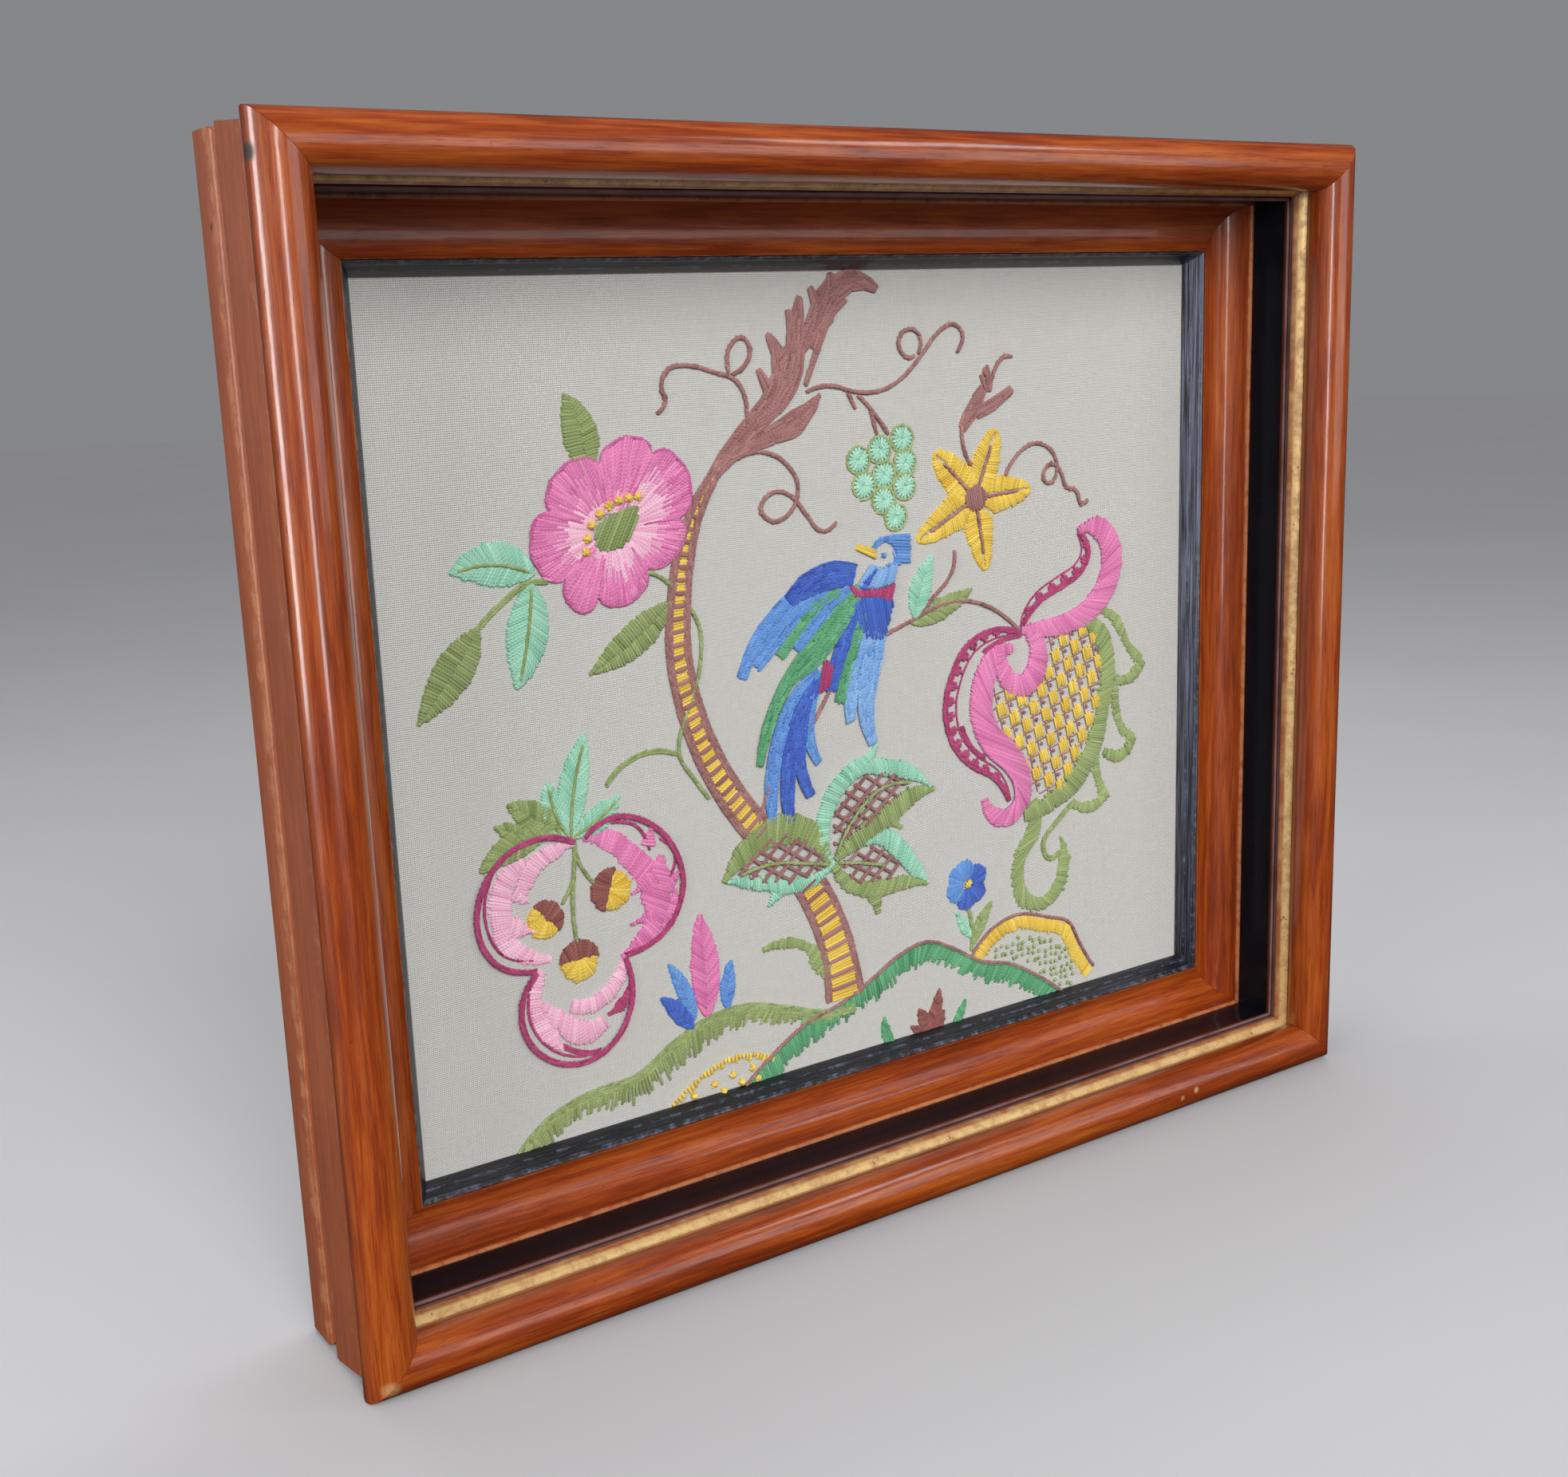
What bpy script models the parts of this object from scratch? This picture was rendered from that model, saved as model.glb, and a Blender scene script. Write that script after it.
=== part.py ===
"""Crewel embroidery panel: linen cloth stretched in a deep mitred frame.

The frame stands on its bottom edge with its face towards -Y. X runs along the width, Z is up, and the
origin is the middle of the footprint. From the outside in, each side of the frame is an outer rail with a
fat round front edge, a narrow gilt strip, an upright black liner, a recessed cove rail and a bevelled slip.

A moulding's section is a list of (inset, depth) points. Inset is measured from the frame's outer edge
towards its middle, and depth from the foremost line of the round edge towards the back.
"""

import math

import bmesh
import bpy

OBJECT_NAME = "crewel_embroidery_panel"

# Driving sizes, in metres
WIDTH = 0.400
HEIGHT = 0.347
DEPTH = 0.056
GAP = 0.0003
SHARP_ANGLE = math.radians(25)

# Round front edge of the outer rail
ROUND_RADIUS = 0.008
ROUND_STEP = math.radians(15)
ROUND_FIRST = math.radians(37.5)
ROUND_FACETS = 17

# Outer side of the outer rail, from the round edge to the back corner: (inset, depth)
OUTER_SIDE = [
    (0.0029, 0.0140),  # quirk behind the round edge
    (0.0029, 0.0156),
    (0.0022, 0.0164),  # middle band, sloping out to its ridge
    (0.0007, 0.0318),
    (0.0007, 0.0330),
    (0.0013, 0.0344),
    (0.0024, 0.0362),  # step
    (0.0024, 0.0385),
    (0.0007, 0.0394),  # back band, flush with the round edge
    (0.0, 0.0408),
]
BACK_ROUNDING = 0.0035
ROUNDING_STEPS = 4
RAIL_INSIDE = 0.0144

# Strips fitted inside the outer rail
STRIP_OUTSIDE = RAIL_INSIDE + GAP
GILT_FRONT = 0.01305
GILT_RIDGE = (0.0161, 0.0142)
GILT_INNER = (0.0173, 0.0163)
GILT_BACK = 0.0172
LIP_CENTRE = (0.0181, 0.0188)
LIP_RADIUS = 0.0007
LIP_START = math.radians(30)
LIP_END = math.radians(-165)
LIP_STEPS = 6
LINER_INSIDE = 0.0184
LINER_BACK = 0.0343

# Cove rail: a hollow face swept about COVE_CENTRE, with a rebate behind it for the cloth
COVE_FRONT = LINER_BACK + GAP
COVE_CENTRE = (0.0279, 0.0367)
COVE_RADIUS = 0.00866
COVE_START = math.radians(180)
COVE_END = math.radians(41)
COVE_STEPS = 14
COVE_ARRIS = 0.0005
COVE_INSIDE = 0.0345
REBATE_INSET = 0.0310

# Slip: bevel with a fine groove, its inner edge lying just over the cloth
SLIP_OUTSIDE = COVE_INSIDE + GAP
SLIP_BEVEL = [  # (inset, depth)
    (0.0348, 0.0429),
    (0.0359, 0.0441),
    (0.0361, 0.0449),
    (0.0376, 0.0466),
    (0.0386, 0.0486),
]
SLIP_INSIDE = 0.0390
SLIP_BACK = 0.0499

# Cloth and board in the rebate
CLOTH_THICKNESS = 0.0014
BOARD_THICKNESS = 0.0036
CLOTH_FRONT = SLIP_BACK + GAP
BOARD_FRONT = CLOTH_FRONT + CLOTH_THICKNESS + GAP


def clear_scene():
    """Remove whatever the file holds, so that the script can be run again."""
    for item in list(bpy.data.objects):
        bpy.data.objects.remove(item, do_unlink=True)
    for collection in list(bpy.data.collections):
        bpy.data.collections.remove(collection)


def make_collection(name):
    """A collection of the scene for the parts."""
    collection = bpy.data.collections.new(name)
    bpy.context.scene.collection.children.link(collection)
    return collection


def make_material(name, colour, roughness, metallic=0.0):
    """A Principled material of one plain finish."""
    material = bpy.data.materials.new(name)
    material.use_nodes = True
    shader = material.node_tree.nodes["Principled BSDF"]
    shader.inputs["Base Color"].default_value = (*colour, 1.0)
    shader.inputs["Roughness"].default_value = roughness
    shader.inputs["Metallic"].default_value = metallic
    return material


def arc(centre, radius, start, end, steps):
    """Points on a circle about centre, from the start angle to the end angle, both included."""
    points = []
    for step in range(steps + 1):
        angle = start + (end - start) * step / steps
        points.append((centre[0] + radius * math.cos(angle), centre[1] + radius * math.sin(angle)))
    return points


def outer_rail_section():
    """Round edge, stepped outer side and a rounded back corner, on a square back."""
    facet_radius = ROUND_RADIUS / math.cos(ROUND_STEP / 2)
    last = ROUND_FIRST - ROUND_STEP * ROUND_FACETS
    round_edge = arc((ROUND_RADIUS, ROUND_RADIUS), facet_radius, ROUND_FIRST, last, ROUND_FACETS)
    corner = (BACK_ROUNDING, DEPTH - BACK_ROUNDING)
    back_corner = arc(corner, BACK_ROUNDING, math.pi, math.pi / 2, ROUNDING_STEPS)
    return round_edge + OUTER_SIDE + back_corner + [(RAIL_INSIDE, DEPTH)]


def gilt_section():
    """Two bright bevels on a small square back."""
    return [
        (STRIP_OUTSIDE, GILT_FRONT),
        (STRIP_OUTSIDE, GILT_BACK),
        (GILT_INNER[0], GILT_BACK),
        GILT_INNER,
        GILT_RIDGE,
    ]


def liner_section():
    """Upright wall whose front ends in a quirk and a small rounded lip."""
    front = GILT_BACK + GAP
    lip = arc(LIP_CENTRE, LIP_RADIUS, LIP_START, LIP_END, LIP_STEPS)
    return [
        (STRIP_OUTSIDE, front),
        (STRIP_OUTSIDE, LINER_BACK),
        (LINER_INSIDE, LINER_BACK),
        (LINER_INSIDE, LIP_CENTRE[1] + 2 * LIP_RADIUS),
        *lip,
        (LIP_CENTRE[0] - LIP_RADIUS - GAP, LIP_CENTRE[1]),
        (LIP_CENTRE[0] - 2 * LIP_RADIUS, front),
    ]


def cove_section():
    """Hollow face between two fine arrises, square at the back, with the cloth's rebate cut out."""
    hollow = arc(COVE_CENTRE, COVE_RADIUS, COVE_END, COVE_START, COVE_STEPS)
    return [
        (STRIP_OUTSIDE, COVE_FRONT),
        (STRIP_OUTSIDE, DEPTH),
        (REBATE_INSET, DEPTH),
        (REBATE_INSET, SLIP_BACK),
        (COVE_INSIDE, SLIP_BACK),
        *hollow,
        (hollow[-1][0], COVE_FRONT + COVE_ARRIS),
        (hollow[-1][0] - COVE_ARRIS, COVE_FRONT),
    ]


def slip_section():
    """Bevel in three facets with a flat back and a thin inner edge."""
    return [
        (SLIP_OUTSIDE, SLIP_BACK),
        (SLIP_INSIDE, SLIP_BACK),
        (SLIP_INSIDE, SLIP_BACK - GAP),
        *reversed(SLIP_BEVEL),
    ]


def mitred_length(name, section, length):
    """Mesh of one moulding: the section is extruded along X and each end is mitred at 45 degrees.

    Local Z is the inset, local Y the depth less half of DEPTH. A mitre slides every point of an end back
    by its own inset, and by its share of the gap in the joint.
    """
    joint_share = GAP / 2 * math.sqrt(2)
    bm = bmesh.new()
    outline = [bm.verts.new((0.0, depth - DEPTH / 2, inset)) for inset, depth in section]
    first_end = bm.faces.new(outline)
    extruded = bmesh.ops.extrude_face_region(bm, geom=[first_end], use_keep_orig=True)
    far_end = [item for item in extruded["geom"] if isinstance(item, bmesh.types.BMVert)]
    for vertex in outline:
        vertex.co.x = -length / 2 + vertex.co.z + joint_share
    for vertex in far_end:
        vertex.co.x = length / 2 - vertex.co.z - joint_share
    bmesh.ops.recalc_face_normals(bm, faces=bm.faces)
    bmesh.ops.triangulate(bm, faces=[face for face in bm.faces if len(face.verts) > 4])
    mesh = bpy.data.meshes.new(name)
    bm.to_mesh(mesh)
    bm.free()
    mesh.shade_smooth()
    mesh.set_sharp_from_angle(angle=SHARP_ANGLE)
    return mesh


def add_part(collection, parent, name, mesh, material, location, turn=0.0):
    """One named part: a mesh, its finish, and its place and turn about Y under the parent."""
    part = bpy.data.objects.new(name, mesh)
    if not mesh.materials:
        mesh.materials.append(material)
    part.location = location
    part.rotation_euler = (0.0, turn, 0.0)
    part.parent = parent
    collection.objects.link(part)
    return part


def add_four_sides(collection, parent, kind, section, material):
    """The same moulding on all four sides: two lengths across, two lengths up."""
    across = mitred_length(kind + "_across", section, WIDTH)
    upright = mitred_length(kind + "_upright", section, HEIGHT)
    middle = HEIGHT / 2
    add_part(collection, parent, kind + "_bottom", across, material, (0.0, 0.0, 0.0))
    add_part(collection, parent, kind + "_top", across, material, (0.0, 0.0, HEIGHT), math.pi)
    add_part(collection, parent, kind + "_left", upright, material, (-WIDTH / 2, 0.0, middle), math.pi / 2)
    add_part(collection, parent, kind + "_right", upright, material, (WIDTH / 2, 0.0, middle), -math.pi / 2)


def add_panel(collection, parent, name, front, thickness, material):
    """A flat sheet that fills the rebate, its front face at the given depth."""
    border = REBATE_INSET + GAP
    bm = bmesh.new()
    bmesh.ops.create_cube(bm, size=1.0)
    bmesh.ops.scale(bm, vec=(WIDTH - 2 * border, thickness, HEIGHT - 2 * border), verts=bm.verts)
    mesh = bpy.data.meshes.new(name)
    bm.to_mesh(mesh)
    bm.free()
    depth = front + thickness / 2 - DEPTH / 2
    return add_part(collection, parent, name, mesh, material, (0.0, depth, HEIGHT / 2))


def build():
    """Make the whole panel under one empty at its origin."""
    clear_scene()
    collection = make_collection(OBJECT_NAME)
    origin = bpy.data.objects.new("panel_origin", None)
    collection.objects.link(origin)

    mahogany = make_material("mahogany", (0.30, 0.062, 0.014), 0.25)
    gilt = make_material("gilt", (0.78, 0.55, 0.22), 0.35, metallic=0.9)
    satin_black = make_material("satin_black", (0.012, 0.013, 0.018), 0.3)
    ebonised = make_material("ebonised", (0.03, 0.033, 0.045), 0.45)
    linen = make_material("linen", (0.52, 0.51, 0.46), 0.9)
    board = make_material("board", (0.28, 0.20, 0.12), 0.85)

    add_four_sides(collection, origin, "rail", outer_rail_section(), mahogany)
    add_four_sides(collection, origin, "gilt", gilt_section(), gilt)
    add_four_sides(collection, origin, "liner", liner_section(), satin_black)
    add_four_sides(collection, origin, "cove", cove_section(), mahogany)
    add_four_sides(collection, origin, "slip", slip_section(), ebonised)
    add_panel(collection, origin, "linen_cloth", CLOTH_FRONT, CLOTH_THICKNESS, linen)
    add_panel(collection, origin, "backing_board", BOARD_FRONT, BOARD_THICKNESS, board)


build()
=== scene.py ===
"""Crewel embroidery panel in its deep mahogany frame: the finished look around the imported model.

The cloth's design is laid out in millimetres on the sight opening, x from its left edge and y down from its
top edge. Every wool stitch is a small closed tube, and all the stitches of one wool are joined in one mesh.
A moulding is a section of (inset, depth) points carried along its rail; inset is measured from the frame's
outer edge inwards and depth from its foremost line backwards.
"""

import math

import bpy
import numpy as np
from mathutils import Matrix, Vector


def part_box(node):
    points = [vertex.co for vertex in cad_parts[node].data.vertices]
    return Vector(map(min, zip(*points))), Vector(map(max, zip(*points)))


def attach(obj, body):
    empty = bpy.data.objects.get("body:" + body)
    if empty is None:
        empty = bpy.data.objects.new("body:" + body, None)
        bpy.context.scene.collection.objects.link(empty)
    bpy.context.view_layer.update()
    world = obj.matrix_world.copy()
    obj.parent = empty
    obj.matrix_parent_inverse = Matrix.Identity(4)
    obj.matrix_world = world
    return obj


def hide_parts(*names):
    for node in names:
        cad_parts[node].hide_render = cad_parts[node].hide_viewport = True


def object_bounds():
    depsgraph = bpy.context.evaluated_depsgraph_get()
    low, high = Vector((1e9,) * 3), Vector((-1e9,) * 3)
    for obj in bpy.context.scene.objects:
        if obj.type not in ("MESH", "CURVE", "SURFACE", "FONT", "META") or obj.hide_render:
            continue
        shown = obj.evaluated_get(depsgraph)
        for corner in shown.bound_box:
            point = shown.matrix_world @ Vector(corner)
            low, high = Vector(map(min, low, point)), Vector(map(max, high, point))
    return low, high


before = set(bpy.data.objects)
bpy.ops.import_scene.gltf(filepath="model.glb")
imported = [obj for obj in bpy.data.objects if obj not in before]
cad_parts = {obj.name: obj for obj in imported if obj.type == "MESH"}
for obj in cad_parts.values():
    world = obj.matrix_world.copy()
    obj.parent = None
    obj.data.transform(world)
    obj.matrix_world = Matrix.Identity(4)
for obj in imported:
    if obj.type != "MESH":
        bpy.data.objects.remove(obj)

CAD_LOW, CAD_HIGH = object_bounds()
WIDTH = CAD_HIGH.x - CAD_LOW.x
HEIGHT = CAD_HIGH.z - CAD_LOW.z
FACE = CAD_LOW.y

MM = 0.001
SIGHT_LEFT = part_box("slip_left")[1].x
SIGHT_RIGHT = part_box("slip_right")[0].x
SIGHT_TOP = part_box("slip_top")[0].z
SIGHT_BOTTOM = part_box("slip_bottom")[1].z
SIGHT_W = (SIGHT_RIGHT - SIGHT_LEFT) / MM
SIGHT_H = (SIGHT_TOP - SIGHT_BOTTOM) / MM
CLOTH_LOW, CLOTH_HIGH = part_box("linen_cloth")

rng = np.random.default_rng(31)

bpy.context.scene.view_settings.view_transform = "Standard"


# ---------------------------------------------------------------- meshes

def new_mesh(name, points, faces, corner_uv=None):
    """Mesh from an array of points and a list of face arrays, one array for each number of corners."""
    mesh = bpy.data.meshes.new(name)
    sizes = np.concatenate([np.full(len(group), group.shape[1]) for group in faces])
    corners = np.concatenate([group.ravel() for group in faces])
    mesh.vertices.add(len(points))
    mesh.vertices.foreach_set("co", np.asarray(points, np.float32).ravel())
    mesh.loops.add(len(corners))
    mesh.loops.foreach_set("vertex_index", corners.astype(np.int32))
    mesh.polygons.add(len(sizes))
    mesh.polygons.foreach_set("loop_start", (np.cumsum(sizes) - sizes).astype(np.int32))
    mesh.polygons.foreach_set("use_smooth", np.ones(len(sizes), bool))
    mesh.update(calc_edges=True)
    if corner_uv is not None:
        layer = mesh.uv_layers.new(name="UVMap")
        layer.data.foreach_set("uv", np.asarray(corner_uv, np.float32).ravel())
    return mesh


def add_float(mesh, name, values):
    """A number for each point of the mesh, which its material reads by name."""
    attribute = mesh.attributes.new(name, "FLOAT", "POINT")
    attribute.data.foreach_set("value", np.asarray(values, np.float32))


def add_piece(name, mesh, material):
    """An object at the origin that rides with the frame and takes the given material."""
    piece = bpy.data.objects.new(name, mesh)
    bpy.context.scene.collection.objects.link(piece)
    mesh.materials.append(material)
    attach(piece, "root")
    return piece


def ring_quads(rings, around):
    """Quads between neighbouring rings of a tube, and each corner's (ring, step round) before wrapping."""
    ring, step = np.meshgrid(np.arange(rings - 1), np.arange(around), indexing="ij")
    ring = ring.ravel()
    step = step.ravel()
    rows = np.stack([ring, ring + 1, ring + 1, ring], 1)
    steps = np.stack([step, step, step + 1, step + 1], 1)
    return rows * around + steps % around, rows, steps


# ---------------------------------------------------------------- paths on the cloth

def at(path, share):
    """Points at the given shares (0 to 1) of a path's length."""
    path = np.asarray(path, float)
    run = np.concatenate([[0.0], np.cumsum(np.hypot(*np.diff(path, axis=0).T))])
    place = np.clip(share, 0.0, 1.0) * run[-1]
    return np.stack([np.interp(place, run, path[:, 0]), np.interp(place, run, path[:, 1])], 1)


def compass(angle):
    """Unit vectors at angles in radians."""
    return np.stack([np.cos(angle), np.sin(angle)], -1)


def length_of(path):
    """Length of a path."""
    return float(np.hypot(*np.diff(np.asarray(path, float), axis=0).T).sum())


def curve(points, closed=False, step=0.5):
    """Smooth path through the points: cubic Hermite pieces, each tangent the chord-weighted mean of its
    two neighbouring slopes, sampled evenly about every step millimetres."""
    knots = np.asarray(points, float)
    if closed:
        knots = np.vstack([knots[-2:], knots, knots[:3]])
    if len(knots) == 2:
        return at(knots, np.linspace(0, 1, max(3, int(length_of(knots) / step) + 1)))
    gaps = np.maximum(np.hypot(*np.diff(knots, axis=0).T), 1e-6)
    slopes = np.diff(knots, axis=0) / gaps[:, None]
    before, after = gaps[:-1, None], gaps[1:, None]
    inner = (slopes[:-1] * after + slopes[1:] * before) / (before + after)
    tangents = np.vstack([2 * slopes[0] - inner[0], inner, 2 * slopes[-1] - inner[-1]])
    t = np.linspace(0, 1, 24, endpoint=False)[None, :, None]
    p0, p1 = knots[:-1, None], knots[1:, None]
    m0, m1 = (tangents[:-1] * gaps[:, None])[:, None], (tangents[1:] * gaps[:, None])[:, None]
    pieces = p0 * (2 * t**3 - 3 * t**2 + 1) + m0 * (t**3 - 2 * t**2 + t)
    pieces = pieces + p1 * (3 * t**2 - 2 * t**3) + m1 * (t**3 - t**2)
    if closed:
        pieces = pieces[2:-2]
        dense = np.vstack([pieces.reshape(-1, 2), pieces[0, :1]])
    else:
        dense = np.vstack([pieces.reshape(-1, 2), knots[-1:]])
    return at(dense, np.linspace(0, 1, max(3, int(length_of(dense) / step) + 1)))


def smooth(path):
    """A list of points made a smooth path; a path that is already worked out stays as it is."""
    return curve(path) if isinstance(path, list) else path


def loop(points):
    """Smooth closed outline through the points."""
    return curve(points, closed=True)


def circle(centre, radius, start=0.0, turn=360.0):
    """Arc of a circle; angles in degrees, clockwise on the cloth."""
    angle = np.radians(np.linspace(start, start + turn, max(8, int(abs(turn) / 8))))
    return np.asarray(centre, float) + radius * compass(angle)


def normals_of(path):
    """Unit vectors square to the path, on its left as it runs with y down."""
    run = np.gradient(np.asarray(path, float), axis=0)
    run = run / np.maximum(np.hypot(*run.T), 1e-9)[:, None]
    return np.stack([run[:, 1], -run[:, 0]], 1)


def normals_at(path, share):
    """Unit vectors square to the path, at the given shares of its own points."""
    square = normals_of(path)
    even = np.linspace(0, 1, len(path))
    return np.stack([np.interp(share, even, square[:, k]) for k in (0, 1)], 1)


def even_shares(count):
    """The middles of count equal steps from 0 to 1."""
    return (np.arange(count) + 0.5) / count


def beside(path, offset):
    """The path moved sideways by an offset, which may change along it."""
    offset = np.broadcast_to(np.asarray(offset, float), (len(path),))
    return path + normals_of(path) * offset[:, None]


def widths_along(path, widths):
    """Width at each point of a path, blended smoothly between evenly spaced widths."""
    share = np.linspace(0, 1, len(path)) * (len(widths) - 1)
    low = np.minimum(share.astype(int), len(widths) - 2)
    blend = share - low
    blend = blend * blend * (3 - 2 * blend)
    widths = np.asarray(widths, float)
    return widths[low] * (1 - blend) + widths[low + 1] * blend


def chords(outline, angle, pitch):
    """Parallel lines, pitch apart, clipped to an outline: the outline is turned until they are level, each
    line's crossings with the edges are sorted, and the odd and even ones are paired."""
    turn = math.radians(angle)
    matrix = np.array([[math.cos(turn), math.sin(turn)], [-math.sin(turn), math.cos(turn)]])
    level = np.asarray(outline, float) @ matrix.T
    if np.hypot(*(level[0] - level[-1])) < 1e-6:
        level = level[:-1]
    ends = np.roll(level, -1, axis=0)
    starts, stops = [], []
    for y in np.arange(level[:, 1].min() + pitch / 2, level[:, 1].max(), pitch):
        crosses = (level[:, 1] > y) != (ends[:, 1] > y)
        a, b = level[crosses], ends[crosses]
        x = np.sort(a[:, 0] + (y - a[:, 1]) / (b[:, 1] - a[:, 1]) * (b[:, 0] - a[:, 0]))
        starts.append(np.stack([x[0::2], np.full(len(x) // 2, y)], 1))
        stops.append(np.stack([x[1::2], np.full(len(x) // 2, y)], 1))
    return np.vstack(starts) @ matrix, np.vstack(stops) @ matrix


def inside(outline, places):
    """Which places lie inside an outline, by counting the edges that a level ray crosses."""
    outline = np.asarray(outline, float)
    ends = np.roll(outline, -1, axis=0)
    x, y = places[:, 0, None], places[:, 1, None]
    spans = (outline[:, 1] > y) != (ends[:, 1] > y)
    rise = np.where(ends[:, 1] == outline[:, 1], 1e-9, ends[:, 1] - outline[:, 1])
    crossing = outline[:, 0] + (y - outline[:, 1]) / rise * (ends[:, 0] - outline[:, 0])
    return (np.sum(spans & (x < crossing), 1) % 2) == 1


# ---------------------------------------------------------------- stitches

WOOLS = {}
PITCH = 1.05
WOOL_WIDTH = 1.18
WOOL_HEIGHT = 0.80
STEM_STITCH = 3.8
LATTICE = 4.2
CHEQUER_CELL = 4.9
CHEQUER_TURN = -14.0


def lay(wool, starts, ends, width=WOOL_WIDTH, lift=0.0, tone=0.0, shaken=0.22):
    """Lay straight stitches from starts to ends; tone shifts their shade, lift raises them, and shaken lets
    their ends fall a little short or long."""
    starts = np.atleast_2d(starts)
    ends = np.atleast_2d(ends)
    count = len(starts)
    if count == 0:
        return
    run = ends - starts
    length = np.maximum(np.hypot(*run.T), 1e-6)
    slip = rng.normal(0, 1, (2, count)) * np.minimum(shaken, 0.05 * length)
    rows = np.empty((count, 8))
    rows[:, 0:2] = starts + run * (slip[0] / length)[:, None] + rng.normal(0, 0.05, (count, 2))
    rows[:, 2:4] = ends + run * (slip[1] / length)[:, None] + rng.normal(0, 0.05, (count, 2))
    rows[:, 4] = width * rng.uniform(0.88, 1.08, count)
    rows[:, 5] = WOOL_HEIGHT * width / WOOL_WIDTH * rng.uniform(0.85, 1.12, count)
    rows[:, 6] = lift + rng.uniform(-0.05, 0.05, count)
    rows[:, 7] = np.clip(0.5 + tone + rng.normal(0, 0.15, count), 0, 1)
    keep = np.hypot(*(rows[:, 2:4] - rows[:, 0:2]).T) > 0.5
    WOOLS.setdefault(wool, []).append(rows[keep])


def satin(wool, left, right, pitch=PITCH, slant=0.0, ragged=0.0, lift=0.0, tone=0.0):
    """Satin stitch: side by side from one edge to the other. slant moves the far ends along their edge, and
    ragged shortens them at random."""
    left, right = smooth(left), smooth(right)
    count = max(2, round(max(length_of(left), length_of(right)) / pitch))
    share = even_shares(count)
    near = at(left, share)
    far = at(right, share + slant)
    far = far + (near - far) * (ragged * rng.uniform(0, 1, count))[:, None]
    lay(wool, near, far, lift=lift, tone=tone)


def long_and_short(wools, shares, outer, inner):
    """Shading from an outer to an inner edge: wools change at the given shares of the way, and every other
    stitch reaches well into the next wool."""
    count = max(3, round(length_of(outer) / PITCH))
    rim = at(outer, even_shares(count))
    core = at(inner, even_shares(count))
    cuts = [0.0, *shares, 1.0]
    last = len(wools) - 1
    for order, wool in enumerate(wools):
        reach = np.where(np.arange(count) % 2 == 0, 0.20, 0.02) + rng.uniform(-0.05, 0.08, count)
        begin = max(cuts[order] - 0.07 * (order > 0), 0.0)
        finish = np.clip(cuts[order + 1] + reach * (order < last), 0, 1)
        lay(wool, rim + (core - rim) * begin, rim + (core - rim) * finish[:, None],
            lift=0.14 * (last - order))


def stem(wool, path, rows=1, gap=0.85, width=1.0, lift=0.15, tone=0.0):
    """Stem stitch: slanted stitches that each start half way along the one before, in parallel rows."""
    path = smooth(path)
    for row in range(rows):
        line = beside(path, (row - (rows - 1) / 2) * gap)
        total = length_of(line)
        count = max(1, int(total / (STEM_STITCH / 2)))
        begin = np.arange(count) * (STEM_STITCH / 2) / total
        finish = np.minimum(begin + STEM_STITCH / total, 1.0)
        side = normals_at(line, begin) * width * 0.2
        lay(wool, at(line, begin) - side, at(line, finish) + side, width, lift, tone)


def rows_along(wool, path, widths, lift=0.0, gap=0.88, stitch=5.5):
    """Rows of long stitches that follow a path and close up where the band of rows narrows."""
    path = curve(path)
    band = widths_along(path, widths)
    rows = max(2, round(band.max() / gap))
    for row in range(rows):
        line = beside(path, ((row + 0.5) / rows - 0.5) * band)
        share_wide = np.linspace(0, 1, len(line))[band > gap * 0.6 * (1 + abs(row - rows / 2) * 0.5)]
        if len(share_wide) < 3:
            continue
        low, high = share_wide[0], share_wide[-1]
        total = length_of(line) * (high - low)
        count = max(1, round(total / stitch))
        cuts = np.linspace(low, high, count + 1)
        cuts[1:-1] += rng.uniform(-0.35, 0.35, count - 1) * (high - low) / count
        overlap = 0.5 / max(length_of(line), 1.0)
        lay(wool, at(line, cuts[:-1] - overlap), at(line, cuts[1:] + overlap), lift=lift)


def band(wool, path, widths, lift=0.0, ragged=0.0, tone=0.0):
    """Satin stitch across a path whose width changes along it."""
    path = curve(path)
    half = widths_along(path, widths) / 2
    satin(wool, beside(path, half), beside(path, -half), ragged=ragged, lift=lift, tone=tone)


def leaf(wool, base, tip, width, bow=0.0, vein=None, lift=0.0, lean=0.14, widest=0.85):
    """Fishbone leaf. Its midrib bows sideways as a parabola and its half width follows a power of a half
    sine wave, where widest under 1 puts the belly below the middle. Stitches slant from both edges to the
    midrib and cross it a little; vein adds a line of stem stitch on it."""
    base, tip = np.asarray(base, float), np.asarray(tip, float)
    t = np.linspace(0, 1, 40)
    along = tip - base
    side = np.array([along[1], -along[0]]) / np.hypot(*along)
    midrib = base + along * t[:, None] + side * (4 * bow * t * (1 - t))[:, None]
    half = width / 2 * np.sin(np.pi * t**widest) ** 0.8
    satin(wool, beside(midrib, half), beside(midrib, -0.55), slant=-lean, lift=lift)
    satin(wool, beside(midrib, -half), beside(midrib, 0.55), slant=-lean, lift=lift + 0.08)
    if vein:
        stem(vein, midrib[1:-4], lift=lift + 0.6, width=0.95)


def fill(wool, outline, angle, stitch, lift):
    """Parallel stitches over a whole outline; long lines are split, in brick order, into several."""
    starts, ends = chords(outline, angle, PITCH)
    for order, (a, b) in enumerate(zip(starts, ends)):
        pieces = max(1, round(np.hypot(*(b - a)) / stitch))
        cuts = np.linspace(0, 1, pieces + 1)
        if pieces > 1:
            brick = 0.25 if order % 2 else -0.25
            cuts[1:-1] += brick / pieces + rng.uniform(-0.1, 0.1, pieces - 1) / pieces
        lay(wool, a + (b - a) * cuts[:-1, None], a + (b - a) * cuts[1:, None], lift=lift)


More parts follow.
